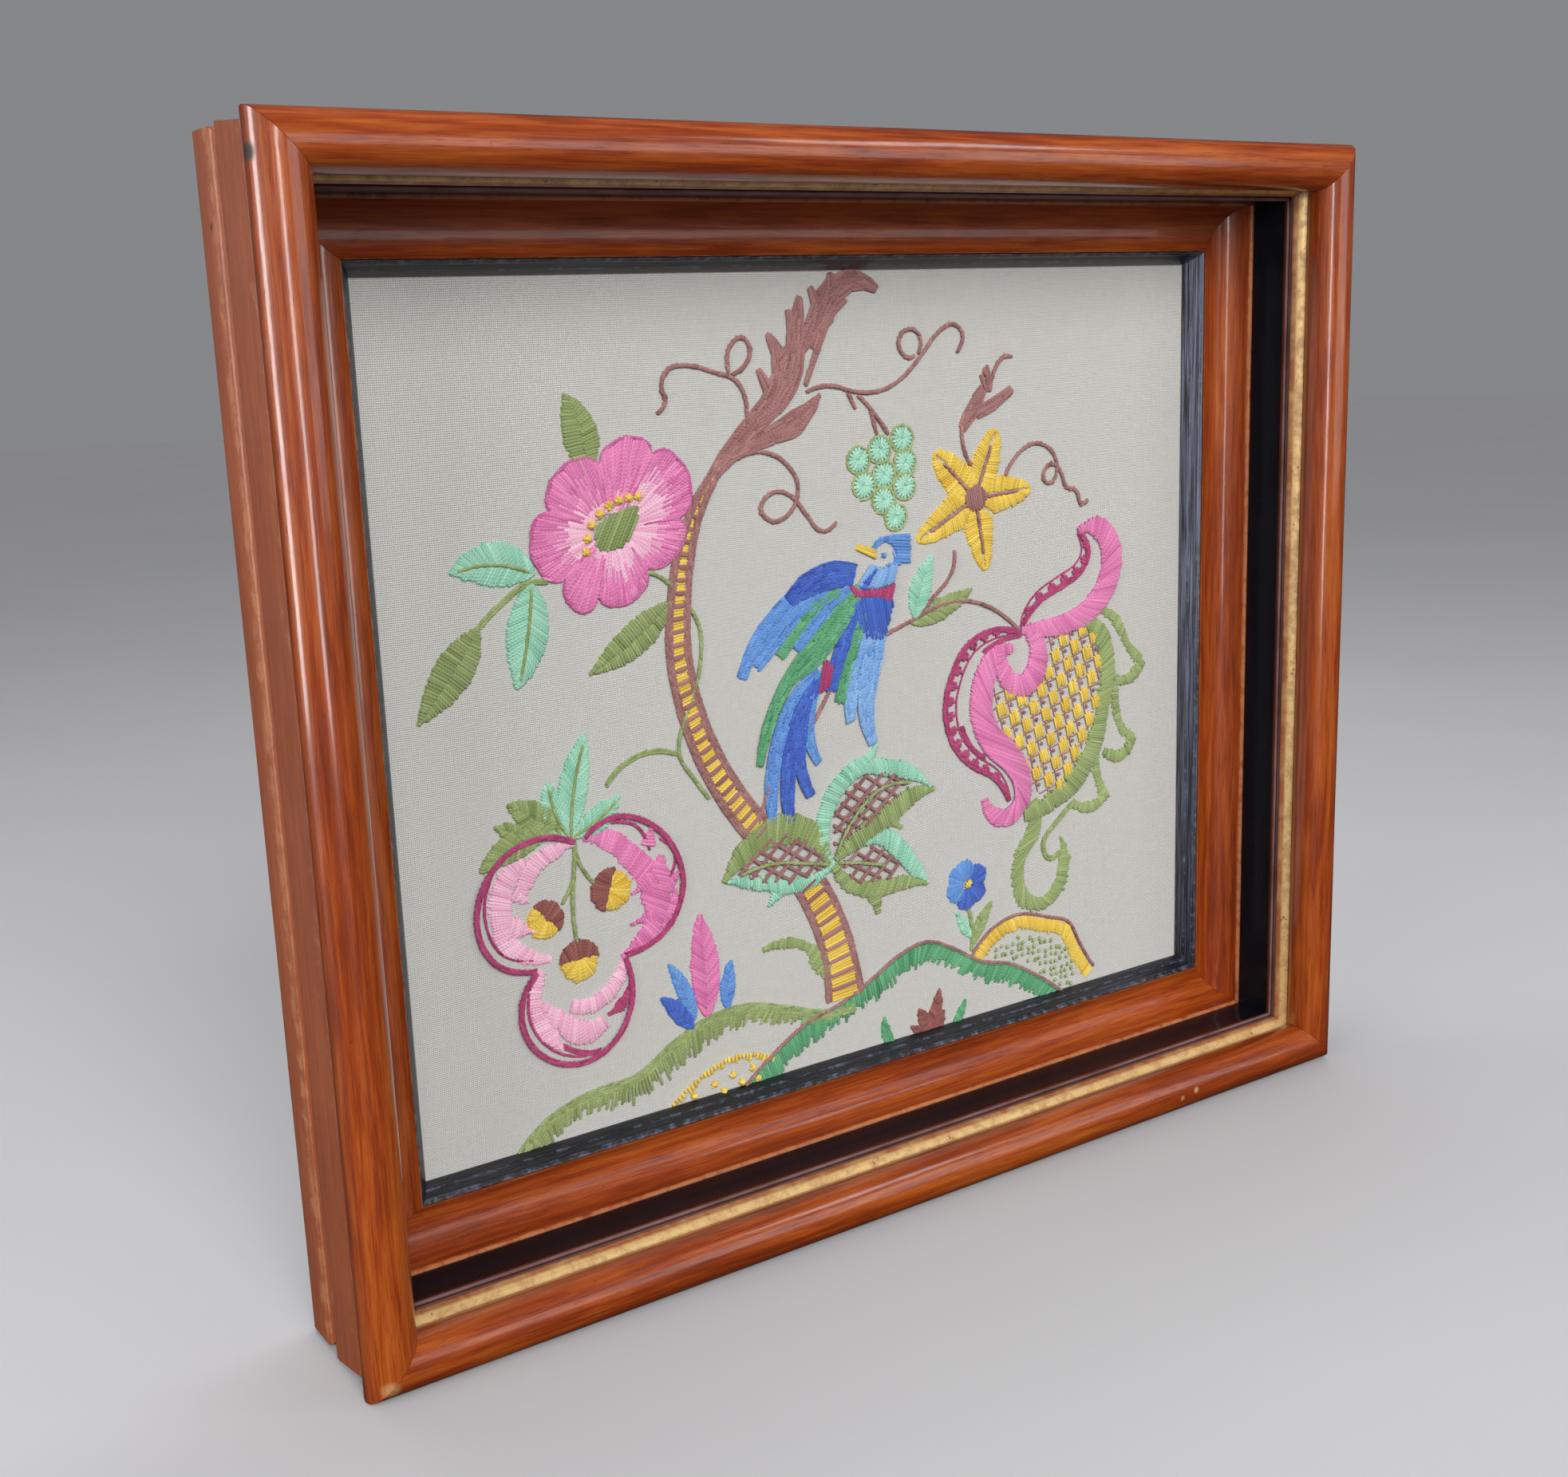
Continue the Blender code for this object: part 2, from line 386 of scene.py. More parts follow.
def buttonhole(wool, edge, depth, ragged, slant):
    """Buttonhole stitch: legs of uneven length on the right of the edge, and a corded line along it."""
    count = max(3, round(length_of(edge) / PITCH))
    rim = at(edge, even_shares(count))
    across = -normals_at(edge, even_shares(count))
    forward = np.stack([-across[:, 1], across[:, 0]], 1) * slant
    reach = widths_along(rim, depth) * (1 - ragged * rng.uniform(0, 1, count))
    lay(wool, rim, rim + (across + forward) * reach[:, None])
    stem(wool, edge, width=0.9, lift=0.2)


def trellis(wool, outline, lift):
    """Laid lattice: long threads in two directions, with a small tie stitch where they cross."""
    laid = []
    for layer, angle in enumerate((35.0, -40.0)):
        starts, ends = chords(outline, angle, LATTICE)
        starts, ends = starts + rng.normal(0, 0.35, starts.shape), ends + rng.normal(0, 0.35, ends.shape)
        lay(wool, starts, ends, width=1.25, lift=lift + 0.4 * layer, tone=-0.1)
        laid.append((starts, ends))
    (a, b), (c, d) = laid
    for start, end in zip(a, b):
        run, other = end - start, d - c
        cross = run[0] * other[:, 1] - run[1] * other[:, 0]
        cross = np.where(np.abs(cross) < 1e-9, 1e-9, cross)
        t = ((c - start)[:, 0] * other[:, 1] - (c - start)[:, 1] * other[:, 0]) / cross
        s = ((c - start)[:, 0] * run[1] - (c - start)[:, 1] * run[0]) / cross
        meet = start + run * t[(t > 0) & (t < 1) & (s > 0) & (s < 1), None]
        lay(wool, meet - (0.0, 0.9), meet + (0.0, 0.9), width=0.95, lift=lift + 0.7)


def seeding(wool, outline, spacing, stitch):
    """Seed stitches: short, roughly upright stitches on a shaken grid inside an outline."""
    low, high = outline.min(0), outline.max(0)
    x, y = np.meshgrid(np.arange(low[0], high[0], spacing), np.arange(low[1], high[1], spacing))
    places = np.stack([x.ravel(), y.ravel()], 1)
    places = places + rng.uniform(-0.24, 0.24, places.shape) * spacing
    places = places[inside(outline, places)]
    half = compass(np.pi / 2 + rng.normal(0, 0.4, len(places))) * stitch / 2
    lay(wool, places - half, places + half, width=1.3, tone=0.15)


def knots(wool, places, size=2.5, lift=0.2):
    """French knots: wool wound in a little ring of short stitches, with one pulled over the top."""
    for place in np.atleast_2d(np.asarray(places, float)):
        turn = rng.uniform(0, 2 * np.pi)
        ring = place + compass(turn + np.arange(5) * 2 * np.pi / 5) * size * 0.29
        following = np.roll(ring, -1, axis=0)
        lay(wool, ring, following + (following - ring) * 0.4, size * 0.46, lift, 0.1)
        tip = compass(turn) * size * 0.4
        lay(wool, place - tip, place + tip, size * 0.5, lift + 0.45, 0.1)


def chequer(block_wool, line_wool, outline):
    """Laid squares turned by an angle: every other square has a block of satin stitch, the rest a seed."""
    for turn in (CHEQUER_TURN, CHEQUER_TURN + 90.0):
        starts, ends = chords(outline, turn, CHEQUER_CELL)
        lay(line_wool, starts, ends, width=0.62)
    across = compass(math.radians(CHEQUER_TURN))
    down = np.array([-across[1], across[0]])
    low, high = outline.min(0), outline.max(0)
    reach = int(np.hypot(*(high - low)) / CHEQUER_CELL) + 1
    column, row = np.meshgrid(np.arange(-reach, reach), np.arange(-reach, reach))
    places = (low + high) / 2 + column.reshape(-1, 1) * CHEQUER_CELL * across
    places = places + row.reshape(-1, 1) * CHEQUER_CELL * down
    filled = ((column + row) % 2 == 0).ravel()
    kept = inside(outline, places)
    for shift in (-1.5, -0.5, 0.5, 1.5):
        centre = places[kept & filled] + across * shift
        leg = down * CHEQUER_CELL * 0.55
        lay(block_wool, centre - leg, centre + leg, width=1.12, lift=0.25, tone=0.05, shaken=0.4)
    centre = places[kept & ~filled]
    lay(line_wool, centre - across * 0.9, centre + across * 0.9, width=1.0, lift=0.2)
    lay(line_wool, centre - down * 0.9, centre + down * 0.9, width=0.8, lift=0.1)


def berry(centre, radius):
    """A round berry: mint stitches that run out from its middle like spokes, with a corded olive ring."""
    count = int(2 * np.pi * radius / 1.75)
    spokes = compass(np.arange(count) * 2 * np.pi / count + rng.uniform(0, 1))
    lay("mint", centre + spokes * 0.3, centre + spokes * (radius - 0.4), lift=0.05, tone=0.22)
    stem("olive", circle(centre, radius, rng.uniform(0, 360)), width=0.85, lift=0.1, tone=0.25)


def petal_fan(centre, foot_radii, sides, radii, pale, lobes):
    """One petal of a full-blown flower. Its rim's radius swells with a sine wave between its two sides
    and ripples in a few lobes; its foot lies on an oval; sides are angles in degrees, clockwise on the
    cloth."""
    t = np.linspace(0, 1, 44)
    angle = np.radians(sides[0] + (sides[1] - sides[0]) * t)
    ray = compass(angle)
    ripple = 1 + 0.035 * (np.abs(np.sin(lobes * np.pi * t)) - 0.5) * np.sin(np.pi * t) ** 0.3
    radius = (radii[0] * (1 - t) + radii[1] * t) * (0.80 + 0.20 * np.sin(np.pi * t) ** 0.45) * ripple
    rim = centre + ray * radius[:, None]
    foot = centre + ray * foot_radii
    long_and_short(["pink", "pink", "pale_pink"], [(1 - pale) * 0.5, 1 - pale], rim, foot)
    stem("pink", rim, width=0.95, lift=0.3, tone=-0.42)
    for corner, heel in ((rim[0], foot[0]), (rim[-1], foot[-1])):
        stem("pink", np.linspace(corner, heel + (corner - heel) * 0.25, 20), width=0.85, lift=0.4,
             tone=-0.45)


# ---------------------------------------------------------------- the design

def embroider_rose():
    """Full-blown rose at the upper left, with its leaves and twig."""
    centre = np.array([77.5, 76.0])
    petals = [(-100, -55, 24, 32, 0.3, 3), (-55, -4, 33, 30, 0.72, 3), (-4, 50, 29, 20, 0.66, 2),
              (50, 108, 22, 25, 0.6, 3), (108, 142, 29, 25, 0.35, 2), (142, 198, 28, 28, 0.6, 3),
              (198, 260, 26, 25, 0.42, 4)]
    for first, last, near, far, pale, lobes in petals:
        petal_fan(centre, np.array([6.6, 4.4]), (first, last), (near, far), pale, lobes)
    fill("olive", loop([(71, 81), (72.5, 75), (78, 71), (86.5, 69.5), (84.5, 77), (79, 82.5)]), angle=-62,
         stitch=14, lift=0.6)
    knots("yellow", [(67.8, 82), (68.6, 78), (70.2, 74), (73.2, 70.8), (76.6, 68.6), (80, 67.4),
                     (83.4, 66.8), (86.8, 66.6)], size=3.2, lift=0.7)
    leaf("olive", (70, 58), (63.5, 34), 12.5, bow=-1.6, lean=0.05)
    leaf("mint", (50, 87), (22.5, 84.5), 14.0, bow=-3.0, vein="olive")
    leaf("mint", (49, 90), (42, 122), 14.5, bow=1.0, vein="olive")
    stem("olive", [(55, 90), (48, 89.5), (40, 94), (29, 103)], rows=2, width=0.95)
    leaf("olive", (31, 101), (9.5, 127.5), 13.0, bow=0.8, lean=0.02)
    leaf("olive", (97, 100.5), (66.5, 120), 11.5, bow=1.5, lean=0.02)
    stem("olive", [(88, 90), (93, 92), (98, 96)], width=1.3)


LOWER_TRUNK = curve([(159.5, 248), (158, 235), (153.5, 219), (145, 202)])
UPPER_TRUNK = curve([(129, 184), (118, 170), (108, 152), (102, 135), (99, 118), (100, 100), (104, 82),
                     (110, 69), (117, 60)])


def rungs(path, half, yellow, pitch):
    """Corded sides of three rows, and across the space between them blocks of satin stitch parted by
    bars."""
    for side in (1, -1):
        for row in range(3):
            stem("mauve", beside(path, side * np.maximum(half - 0.45 - row * 0.85, 0.3)), width=1.1)
    inner = np.maximum(half - 2.1, 0.6)
    count = int(length_of(path) / pitch)
    share = even_shares(count)
    block = np.arange(count) % (yellow + 1) < yellow
    for wool, chosen, width in (("yellow", block, 1.15), ("mauve", ~block, 1.9)):
        lay(wool, at(beside(path, inner), share[chosen]), at(beside(path, -inner), share[chosen]), width,
            lift=0.1)


def embroider_trunk():
    """Curving trunk in two lengths, with the thin stems and the tendril that spring from it."""
    rungs(LOWER_TRUNK, widths_along(LOWER_TRUNK, [16.5, 14.5, 13.5, 12.5]) / 2, 4, 1.05)
    rungs(UPPER_TRUNK, widths_along(UPPER_TRUNK, [11.5, 11, 10.5, 10, 9.5, 9, 8, 6, 4]) / 2, 3, 1.02)
    stem("olive", [(103, 102), (107, 110), (107, 120), (103, 133), (99, 141), (97, 149), (103, 160),
                   (108, 167)],
         width=1.25)
    stem("olive", [(70, 156), (77, 150), (87, 147.5), (97, 150)], rows=2, gap=0.75, width=0.95)
    tendril([(117, 62), (125, 57), (133, 56), (142, 60), (147, 68), (144, 76), (137, 79), (131.5, 74.5),
             (137, 69), (144, 71), (150, 78), (156, 84), (162, 81)])


def tendril(points):
    """A curling tendril in stem stitch."""
    stem("mauve", points, width=1.35)


def embroider_crest():
    """Brown plume and tendrils at the top of the tree, with the sprig beside them."""
    rows_along("mauve", [(113.5, 63.5), (122, 55), (131, 47), (138, 41), (142, 31), (137, 19)],
               [3, 6.5, 7.5, 9, 6, 1.5])
    for base, tip in (((147, 20), (145, 12)), ((157, 12), (154, 5)), ((163, 6), (162, 0.5)),
                      ((153, 24), (157, 19)), ((141, 28), (147, 22)), ((137, 37), (133, 30)),
                      ((158, 17), (163, 15))):
        rows_along("mauve", [base, tip], [4.5, 1.2], lift=0.15)
    rows_along("mauve", [(131, 47), (140.5, 41), (147, 30), (148, 20), (150, 8)], [3, 6, 7.5, 7, 1.5],
               lift=0.2)
    rows_along("mauve", [(149, 26), (156, 16), (162, 7), (171, 3), (181, 6.5)], [2, 6.5, 9, 7, 2], lift=0.1)
    rows_along("mauve", [(151, 36), (156, 25), (161, 15), (168, 9)], [1, 2.2, 2.4, 2], lift=0.3)
    rows_along("mauve", [(121, 57), (134, 52), (146, 48), (157, 39)], [2, 5, 8.5, 1.2], lift=0.1)
    tendril([(128, 47), (128, 40), (124.5, 33), (117, 30.5), (108, 28), (100, 28.5), (97, 34), (99, 39),
             (95, 42)])
    tendril([(122.5, 31.5), (128, 29), (130.5, 24), (127.5, 19.5), (123.5, 21.5), (122, 31)])
    tendril([(151, 38), (161, 36.5), (171, 39), (182, 39), (191, 35), (199, 28), (206, 21), (212, 18),
             (217, 21), (214, 28)])
    stem("mauve", circle((194, 24), 5.0, 60, 350), width=1.3, lift=0.3)
    for line in ([(168, 39), (171, 45)], [(172, 40), (179, 47), (184.5, 54)], [(177, 45), (179.5, 54)]):
        tendril(line)
    for x, y in [(190, 55.5), (180.5, 58.5), (171.5, 61.5), (191, 63.5), (182, 67), (173.5, 70),
                 (190.5, 71.5), (181.5, 75.5), (186.5, 81.5)]:
        berry(np.array([x, y]), 4.9)
    rows_along("mauve", [(216, 54), (221, 47), (226, 40)], [3, 6.5, 3])
    rows_along("mauve", [(222, 49), (230, 46), (239, 41)], [4, 4.5, 2.5], lift=0.2)
    rows_along("mauve", [(228, 42), (228.5, 38), (226, 34)], [2, 3, 5.5])
    tendril([(229.5, 38), (232, 32.5), (236, 29.5), (239.5, 30.5)])
    tendril([(216, 52), (216.5, 60), (220.5, 67.5)])
    tendril([(235, 72), (240, 65), (249, 60.5), (257, 63.5), (260, 71), (256, 76), (252.5, 73), (257, 68),
             (262, 72), (264, 78), (269, 78), (271, 84.5), (275, 82.5)])


def embroider_star():
    """Yellow star flower with a brown eye and veins, its stem and leaves, and the bird's branch. An arm's
    half width grows from the eye until its neighbours leave room, then narrows slowly and rounds off at
    the tip."""
    heart = np.array([221.5, 78.0])
    for tip in [(231.5, 54.5), (247.5, 76.5), (226, 104), (195, 91), (203.5, 61)]:
        tip = np.array(tip, float)
        reach = np.hypot(*(tip - heart))
        away = np.linspace(3.0, reach, 40)
        midrib = heart + (tip - heart) * (away / reach)[:, None]
        half = np.minimum(away * 0.78, 8.6 - 0.17 * away) * (1 - (away / reach)**7) ** 0.5
        satin("yellow", beside(midrib, half), beside(midrib, 0.35), slant=-0.06)
        satin("yellow", beside(midrib, -half), beside(midrib, -0.35), slant=-0.06, lift=0.06)
        stem("mauve", midrib[:30], width=0.95, lift=0.4, tone=0.1)
    lay("mauve", *chords(circle(heart, 4.8), 80, PITCH), lift=0.6)
    tendril([(212, 95), (210.5, 103), (203, 110), (196, 116)])
    tendril([(241, 127), (231, 119), (219, 114), (207, 113.5), (193, 117.5), (182, 121), (174, 124)])
    tendril([(158, 136), (148, 150)])
    tendril([(131, 165), (129, 172), (126, 179)])
    leaf("mint", (194, 117), (202, 96), 9.5, bow=1.0)
    leaf("olive", (192, 118.5), (220, 109.5), 8.0, bow=-1.0)


def embroider_bird():
    """Long-tailed bird on its branch: every feather is rows of long stitches."""
    feathers = [
        ("mid_blue", [(162, 101), (143, 106), (130, 116), (122, 129)], [4, 7.5, 6, 3.5], 0.0),
        ("mid_blue", [(158, 105), (144, 110), (135, 119), (127.5, 126)], [4, 6, 5, 3.5], 0.15),
        ("royal_blue", [(169, 99.5), (159, 98.5), (150, 100.5), (141, 105.5)], [7, 9.5, 8.5, 4], 0.4),
        ("emerald", [(163, 104), (151, 110), (143.5, 117), (137, 123.5)], [3, 4, 4.5, 3.5], 0.3),
        ("mid_blue", [(167, 104), (155, 111), (149, 116.5), (143.5, 122)], [4, 5, 4.5, 3.5], 0.35),
        ("emerald", [(171, 104), (162, 113), (152, 123), (141, 131), (133, 143), (127.5, 159)],
         [4, 8.5, 9.5, 4.5, 4, 2], 0.45),
        ("mid_blue", [(153, 130), (142, 139), (136, 150), (132.5, 163), (132, 180)], [3, 5.5, 5.5, 5.5, 3],
         0.3),
        ("royal_blue", [(153, 133), (146, 141), (141, 152), (138.5, 166), (138.5, 181)],
         [4, 6.5, 6.5, 5.5, 4], 0.4),
        ("royal_blue", [(148, 139), (145, 149), (143.5, 160), (148, 173)], [2, 4.5, 4.5, 3.5], 0.5),
        ("mid_blue", [(151, 137), (148.5, 143), (147.5, 151), (151.5, 162)], [3, 4.5, 4, 2.4], 0.35),
        ("royal_blue", [(171, 109), (165, 118), (160, 129), (157, 138)], [5, 6, 5.5, 4], 0.4),
        ("emerald", [(172, 112), (168, 122), (163.5, 133), (160.5, 142.5)], [3, 4, 4.5, 4], 0.45),
        ("light_blue", [(173, 118), (169, 130), (165.5, 141), (165, 150)], [4, 6.5, 6, 3], 0.35),
        ("light_blue", [(178, 119), (174.5, 132), (171.5, 146), (174.5, 159)], [6.5, 8, 6.5, 3], 0.4),
    ]
    for wool, path, widths, lift in feathers:
        rows_along(wool, path, widths, gap=0.92, stitch=3.6, lift=lift)
    fill("crimson", [(155, 127), (159, 128.5), (156.5, 136.5), (151.5, 138)], angle=-74, stitch=12,
         lift=0.75)
    body = loop([(168.5, 108.5), (176, 107), (184, 109.5), (182.5, 117), (179.5, 123), (173, 121.5),
                 (169, 116)])
    fill("royal_blue", body, angle=80, stitch=12, lift=0.6)
    collar = [
        ("crimson", [(166, 102.5), (175, 105), (185.5, 103.5)],
         [(168.5, 107.5), (175, 108), (183, 110.5)], 0.75),
        ("light_blue", [(175.5, 96.5), (181, 98), (186.5, 97)], [(169, 103.5), (176, 105), (185, 104)], 0.5),
        ("royal_blue", [(176.5, 97.5), (173, 100.5), (169.5, 104)],
         [(178, 99), (175.5, 102), (173.5, 105)], 0.8),
    ]
    for wool, left, right, lift in collar:
        satin(wool, left, right, lift=lift)
    stem("mid_blue", [(176, 93.5), (178, 89.5), (185, 88.5), (192.5, 88.8)], rows=2, width=1.15)
    fill("mid_blue", [(181, 88.5), (193, 88.3), (192.5, 98), (184.5, 97.5), (186.5, 93.5), (184, 90.5)],
         angle=8, stitch=12, lift=0.2)
    lay("light_blue", [(186.5, 96.5), (184, 97)], [(185, 92.5), (181.5, 97.8)], width=1.0)
    knots("mid_blue", [(181, 94)], size=2.2)
    rows_along("yellow", [(169.5, 90), (174, 92.5), (178, 93.5)], [1.2, 3.6, 3.0], gap=0.9, stitch=9,
               lift=0.2)


def embroider_fruit():
    """Opening fruit at the right: turned-back pink rind, chequered seeds, and green husks."""
    seeds = loop([(228, 146), (236, 148), (250, 150), (256, 141), (254, 132), (266, 129), (277, 132),
                  (281, 146),
                   (278, 162), (272, 176), (259, 191), (247, 188), (238, 172), (229, 160)])
    chequer("yellow", "mauve", seeds)
    husks = [
        ([(268, 127.5), (280, 132), (284, 145), (282, 160), (278, 174), (268, 187), (255, 194), (243, 197)],
         [4, 8, 9, 8, 9, 10, 8, 6], 0.35),
        ([(281, 124), (289, 129), (295, 139), (302, 146)], [4, 5, 4, 5.5], 0.0),
        ([(303, 146), (298, 151), (288, 151.5)], [5, 5.5, 3.5], 0.15),
        ([(290, 150), (288.5, 160), (291, 169), (298, 176)], [4, 5, 4.5, 5], 0.0),
        ([(298.5, 175), (292, 181), (283, 178.5)], [4, 6, 4], 0.15),
        ([(280, 175), (279, 186), (283.5, 196)], [4.5, 4.5, 5], 0.0),
        ([(285, 195), (276, 199), (267, 196)], [4, 5.5, 3.5], 0.15),
        ([(246.5, 192), (247.5, 203), (241, 211), (239, 221), (243, 230), (251, 233), (260, 228),
          (263, 219), (261, 208)], [7, 7, 6, 6.5, 7, 6, 7, 7, 1.5], 0.0),
    ]
    for path, widths, lift in husks:
        band("olive", path, widths, lift=lift, ragged=0.2, tone=0.1)
    stem("olive", [(268, 195.5), (259, 202), (252, 209), (255, 216), (261, 213.5)], rows=2, width=1.1)
    band("pink", [(270, 94), (280, 93.5), (286, 101), (286, 111), (279, 121), (266, 127), (252, 128),
                  (242, 127)],
         [3, 9, 10, 10, 9, 8, 7, 3.5], lift=0.45)
    band("pink", [(243, 127), (248.5, 131), (250, 140), (245, 147), (237, 146), (233, 140), (232, 133.5)],
         [3.5, 7, 9.5, 9.5, 8, 7, 4], lift=0.55)
    band("pink", [(238, 133), (229, 136), (224, 145), (223, 155), (227, 165), (236, 173), (242, 181),
                  (242.5, 190),
                  (235, 196), (227, 193), (224, 187)], [4, 9, 10, 10, 10, 10, 8.5, 7.5, 7, 6.5, 3.5],
         lift=0.4)
    tooth_line([(242, 126), (250, 118), (262, 113), (271.5, 108.5), (275, 102), (270, 94)], 4.0)
    tooth_line([(242, 128), (230, 125.5), (217, 129.5), (209.5, 140), (206.5, 152), (209.5, 164),
                (218, 173.5), (229, 180), (236, 190)], 5.0)
    stem("crimson", [(243, 129), (232, 130), (224, 133)], rows=2, gap=0.8)
    stem("crimson", [(214, 158), (217.5, 166), (225, 172)], rows=2, gap=0.8)


def tooth_line(points, depth):
    """Crimson outline of two corded rows, with small wedges of three stitches along its inner edge."""
    path = curve(points)
    stem("crimson", path, rows=2, gap=0.95, width=1.2, lift=0.35)
    count = int(length_of(path) / 6.0)
    share = np.arange(1, count) / count
    base = at(path, share)
    across = normals_at(path, share)
    forward = np.stack([-across[:, 1], across[:, 0]], 1)
    shorten = np.sin(np.pi * share)[:, None] ** 0.5
    for shift, reach in ((-1.1, 0.75), (0.0, 1.0), (1.1, 0.7)):
        foot = base + forward * shift
        lay("crimson", foot, base + across * depth * reach * shorten + forward * shift, 1.25, 0.3, 0.1)
    inner = beside(path, depth * np.sin(np.pi * np.linspace(0, 1, len(path))) ** 0.5)
    stem("crimson", inner, width=0.7, lift=0.1, tone=0.1)


def embroider_leaf_cluster():
    """Three big leaves over the trunk: bands of green round a brown lattice."""
    trellis("mauve", loop([(118, 195), (124, 187), (136, 184), (147, 189), (153, 198), (142, 201),
                           (130, 200)]), lift=0.5)
    band("olive", [(112, 196), (120, 188), (131, 182.5), (144, 184), (154, 197)], [2.5, 9, 11.5, 9.5, 4],
         lift=0.5)
    band("mint", [(113, 196), (126, 199), (139, 203), (149, 202), (156, 198)], [2, 5.5, 5.5, 5, 2.5],
         lift=0.5)
    band("mint", [(134, 203), (129, 208)], [6.5, 1.5], lift=0.2)
    for vein in ([(118, 194.5), (130, 193), (142, 195), (154, 198)],
                 [(157, 195), (166, 182), (176, 175), (190, 175)],
                 [(158, 198), (168, 200), (178, 203)]):
        stem("olive", vein, width=1.1, lift=1.3)
    trellis("mauve", loop([(157, 191), (157, 182), (165, 172), (178, 169), (188, 175), (181, 182),
                           (170, 187)]), lift=0.5)
    band("mint", [(156, 198), (152, 187), (157, 174), (168, 166), (180, 168), (191, 172), (199, 178)],
         [2, 6, 7, 6.5, 6, 6, 1.5], lift=0.55)
    band("mint", [(164, 169), (171, 165), (176, 159)], [5, 5.5, 1.5], lift=0.5)
    band("olive", [(201, 179), (190, 180), (182, 184), (171, 189), (157, 197)], [2.5, 7.5, 9.5, 8, 3.5],
         lift=0.45, ragged=0.1)
    band("olive", [(178, 184), (186, 191)], [8, 2], lift=0.3)
    trellis("mauve", loop([(160, 199), (170, 195), (180, 198), (185, 205), (176, 208), (165, 206)]),
            lift=0.5)
    band("mint", [(170, 194), (178, 193), (185, 199), (190, 205), (197, 213)], [2, 7, 7.5, 6, 1.5],
         lift=0.55)
    band("olive", [(156, 198), (163, 207), (175, 211), (186, 211), (197, 213.5)], [3.5, 6, 6.5, 5.5, 1.5],
         lift=0.5)
    band("olive", [(172, 209), (175, 220)], [8, 3], lift=0.35)
    band("olive", [(126, 223), (135, 222.5), (143, 225), (148.5, 231), (154, 240)], [2.5, 4.5, 4, 8.5, 5],
         ragged=0.1)


def embroider_trefoil():
    """Three-lobed flower at the lower left, with three acorns hanging in it."""
    left = curve([(58, 172), (49, 168.5), (37, 170), (26, 180), (23, 193), (28, 205), (42, 210.5)])
    right = curve([(61, 171), (72, 166), (84, 170), (93, 180), (96, 193), (90, 206), (73, 212)])
    foot = curve([(42, 211), (36, 220), (37, 232), (46, 242), (59, 244.5), (70, 238), (75, 226), (73, 213)])
    for line in (left, right, foot):
        stem("crimson", line, rows=2, gap=0.8, width=1.05, lift=0.9)
    stem("crimson", [(71, 168), (80, 170.5), (84.5, 180)], width=1.1)
    stem("crimson", [(88, 176), (94, 184), (90, 191)], width=1.1)
    stem("crimson", [(30, 176), (26, 190), (31, 203), (42, 207)], width=0.9, tone=-0.1)
    stem("crimson", [(40, 214), (39, 228), (47, 239), (58, 243)], width=0.9)
    stem("crimson", [(49, 237), (56, 241.5), (63, 242.5)], rows=2)
    band("pale_pink", [(58, 172.5), (48, 174.5), (41, 180), (39, 188)], [2, 6, 6.5, 2.5], lift=0.12)
    band("pale_pink", [(41, 175), (33.5, 180), (31, 190), (33, 200), (40, 206), (47.5, 208)],
         [5, 8, 8.5, 8, 6, 3], ragged=0.1)
    band("pale_pink", [(34, 195), (43, 198)], [8, 1.2], lift=0.25)
    band("pale_pink", [(36, 184), (41, 188)], [6, 1.2], lift=0.25)
    band("pink", [(61, 171.5), (71, 174), (78, 181), (84, 188)], [2.5, 7.5, 8, 10])
    band("pink", [(89, 182), (86, 194), (86, 202), (80, 209), (72, 213)], [3, 13, 10, 7.5, 2.5], lift=0.2,
         ragged=0.1)
    band("pink", [(93, 194), (92, 200), (87, 206)], [1.5, 4.5, 3], lift=0.35)
    for base, tip, width in (((86, 188), (77, 193), 7), ((86, 201), (76, 203), 6), ((84, 178), (86, 171), 6),
                             ((90, 193), (96, 188), 6)):
        band("pink", [base, tip], [width, 1], lift=0.3)
    band("pale_pink", [(44, 211), (41, 219), (44, 230), (49.5, 239)], [4, 5.5, 8, 2.5])
    band("pale_pink", [(43, 222), (49, 229), (57, 235), (65, 233)], [3, 6.5, 9, 5.5], lift=0.25)
    band("pale_pink", [(53, 225), (60, 226.5), (68, 223), (73, 213)], [5, 6, 5.5, 2.5], lift=0.1)
    band("crimson", [(75, 222), (72, 228), (66, 231)], [2, 4.5, 1.5], lift=0.25)
    acorn((46, 195), (50.5, 191), 6.3)
    acorn((70, 190), (65.5, 188.5), 7.2)
    acorn((57, 211), (57, 205), 7.0)
    stem("olive", [(58, 168), (57.5, 178), (56, 190), (56.5, 205)], width=1.3)
    stem("olive", [(57.5, 171), (59.5, 180), (64.5, 187)], width=1.2)
    stem("olive", [(56.5, 184), (54.5, 188), (52, 191)], width=1.2)
    leaf("mint", (56.5, 172), (64, 138), 10.5, bow=1.6, vein="olive", widest=1.1, lift=0.1)
    leaf("mint", (56, 170), (50, 151), 9.5, bow=1.5, vein="olive", widest=1.0)
    leaf("mint", (57.5, 170), (75, 159.5), 9.0, bow=-1.2, vein="olive", widest=1.0)
    leaf("olive", (53, 169), (35.5, 156), 11.0, bow=-1.0)
    leaf("olive", (48, 168), (25, 176), 9.5, bow=-2.2, lift=0.15)
    leaf("olive", (42, 167), (31, 162), 6.0, lift=0.3)


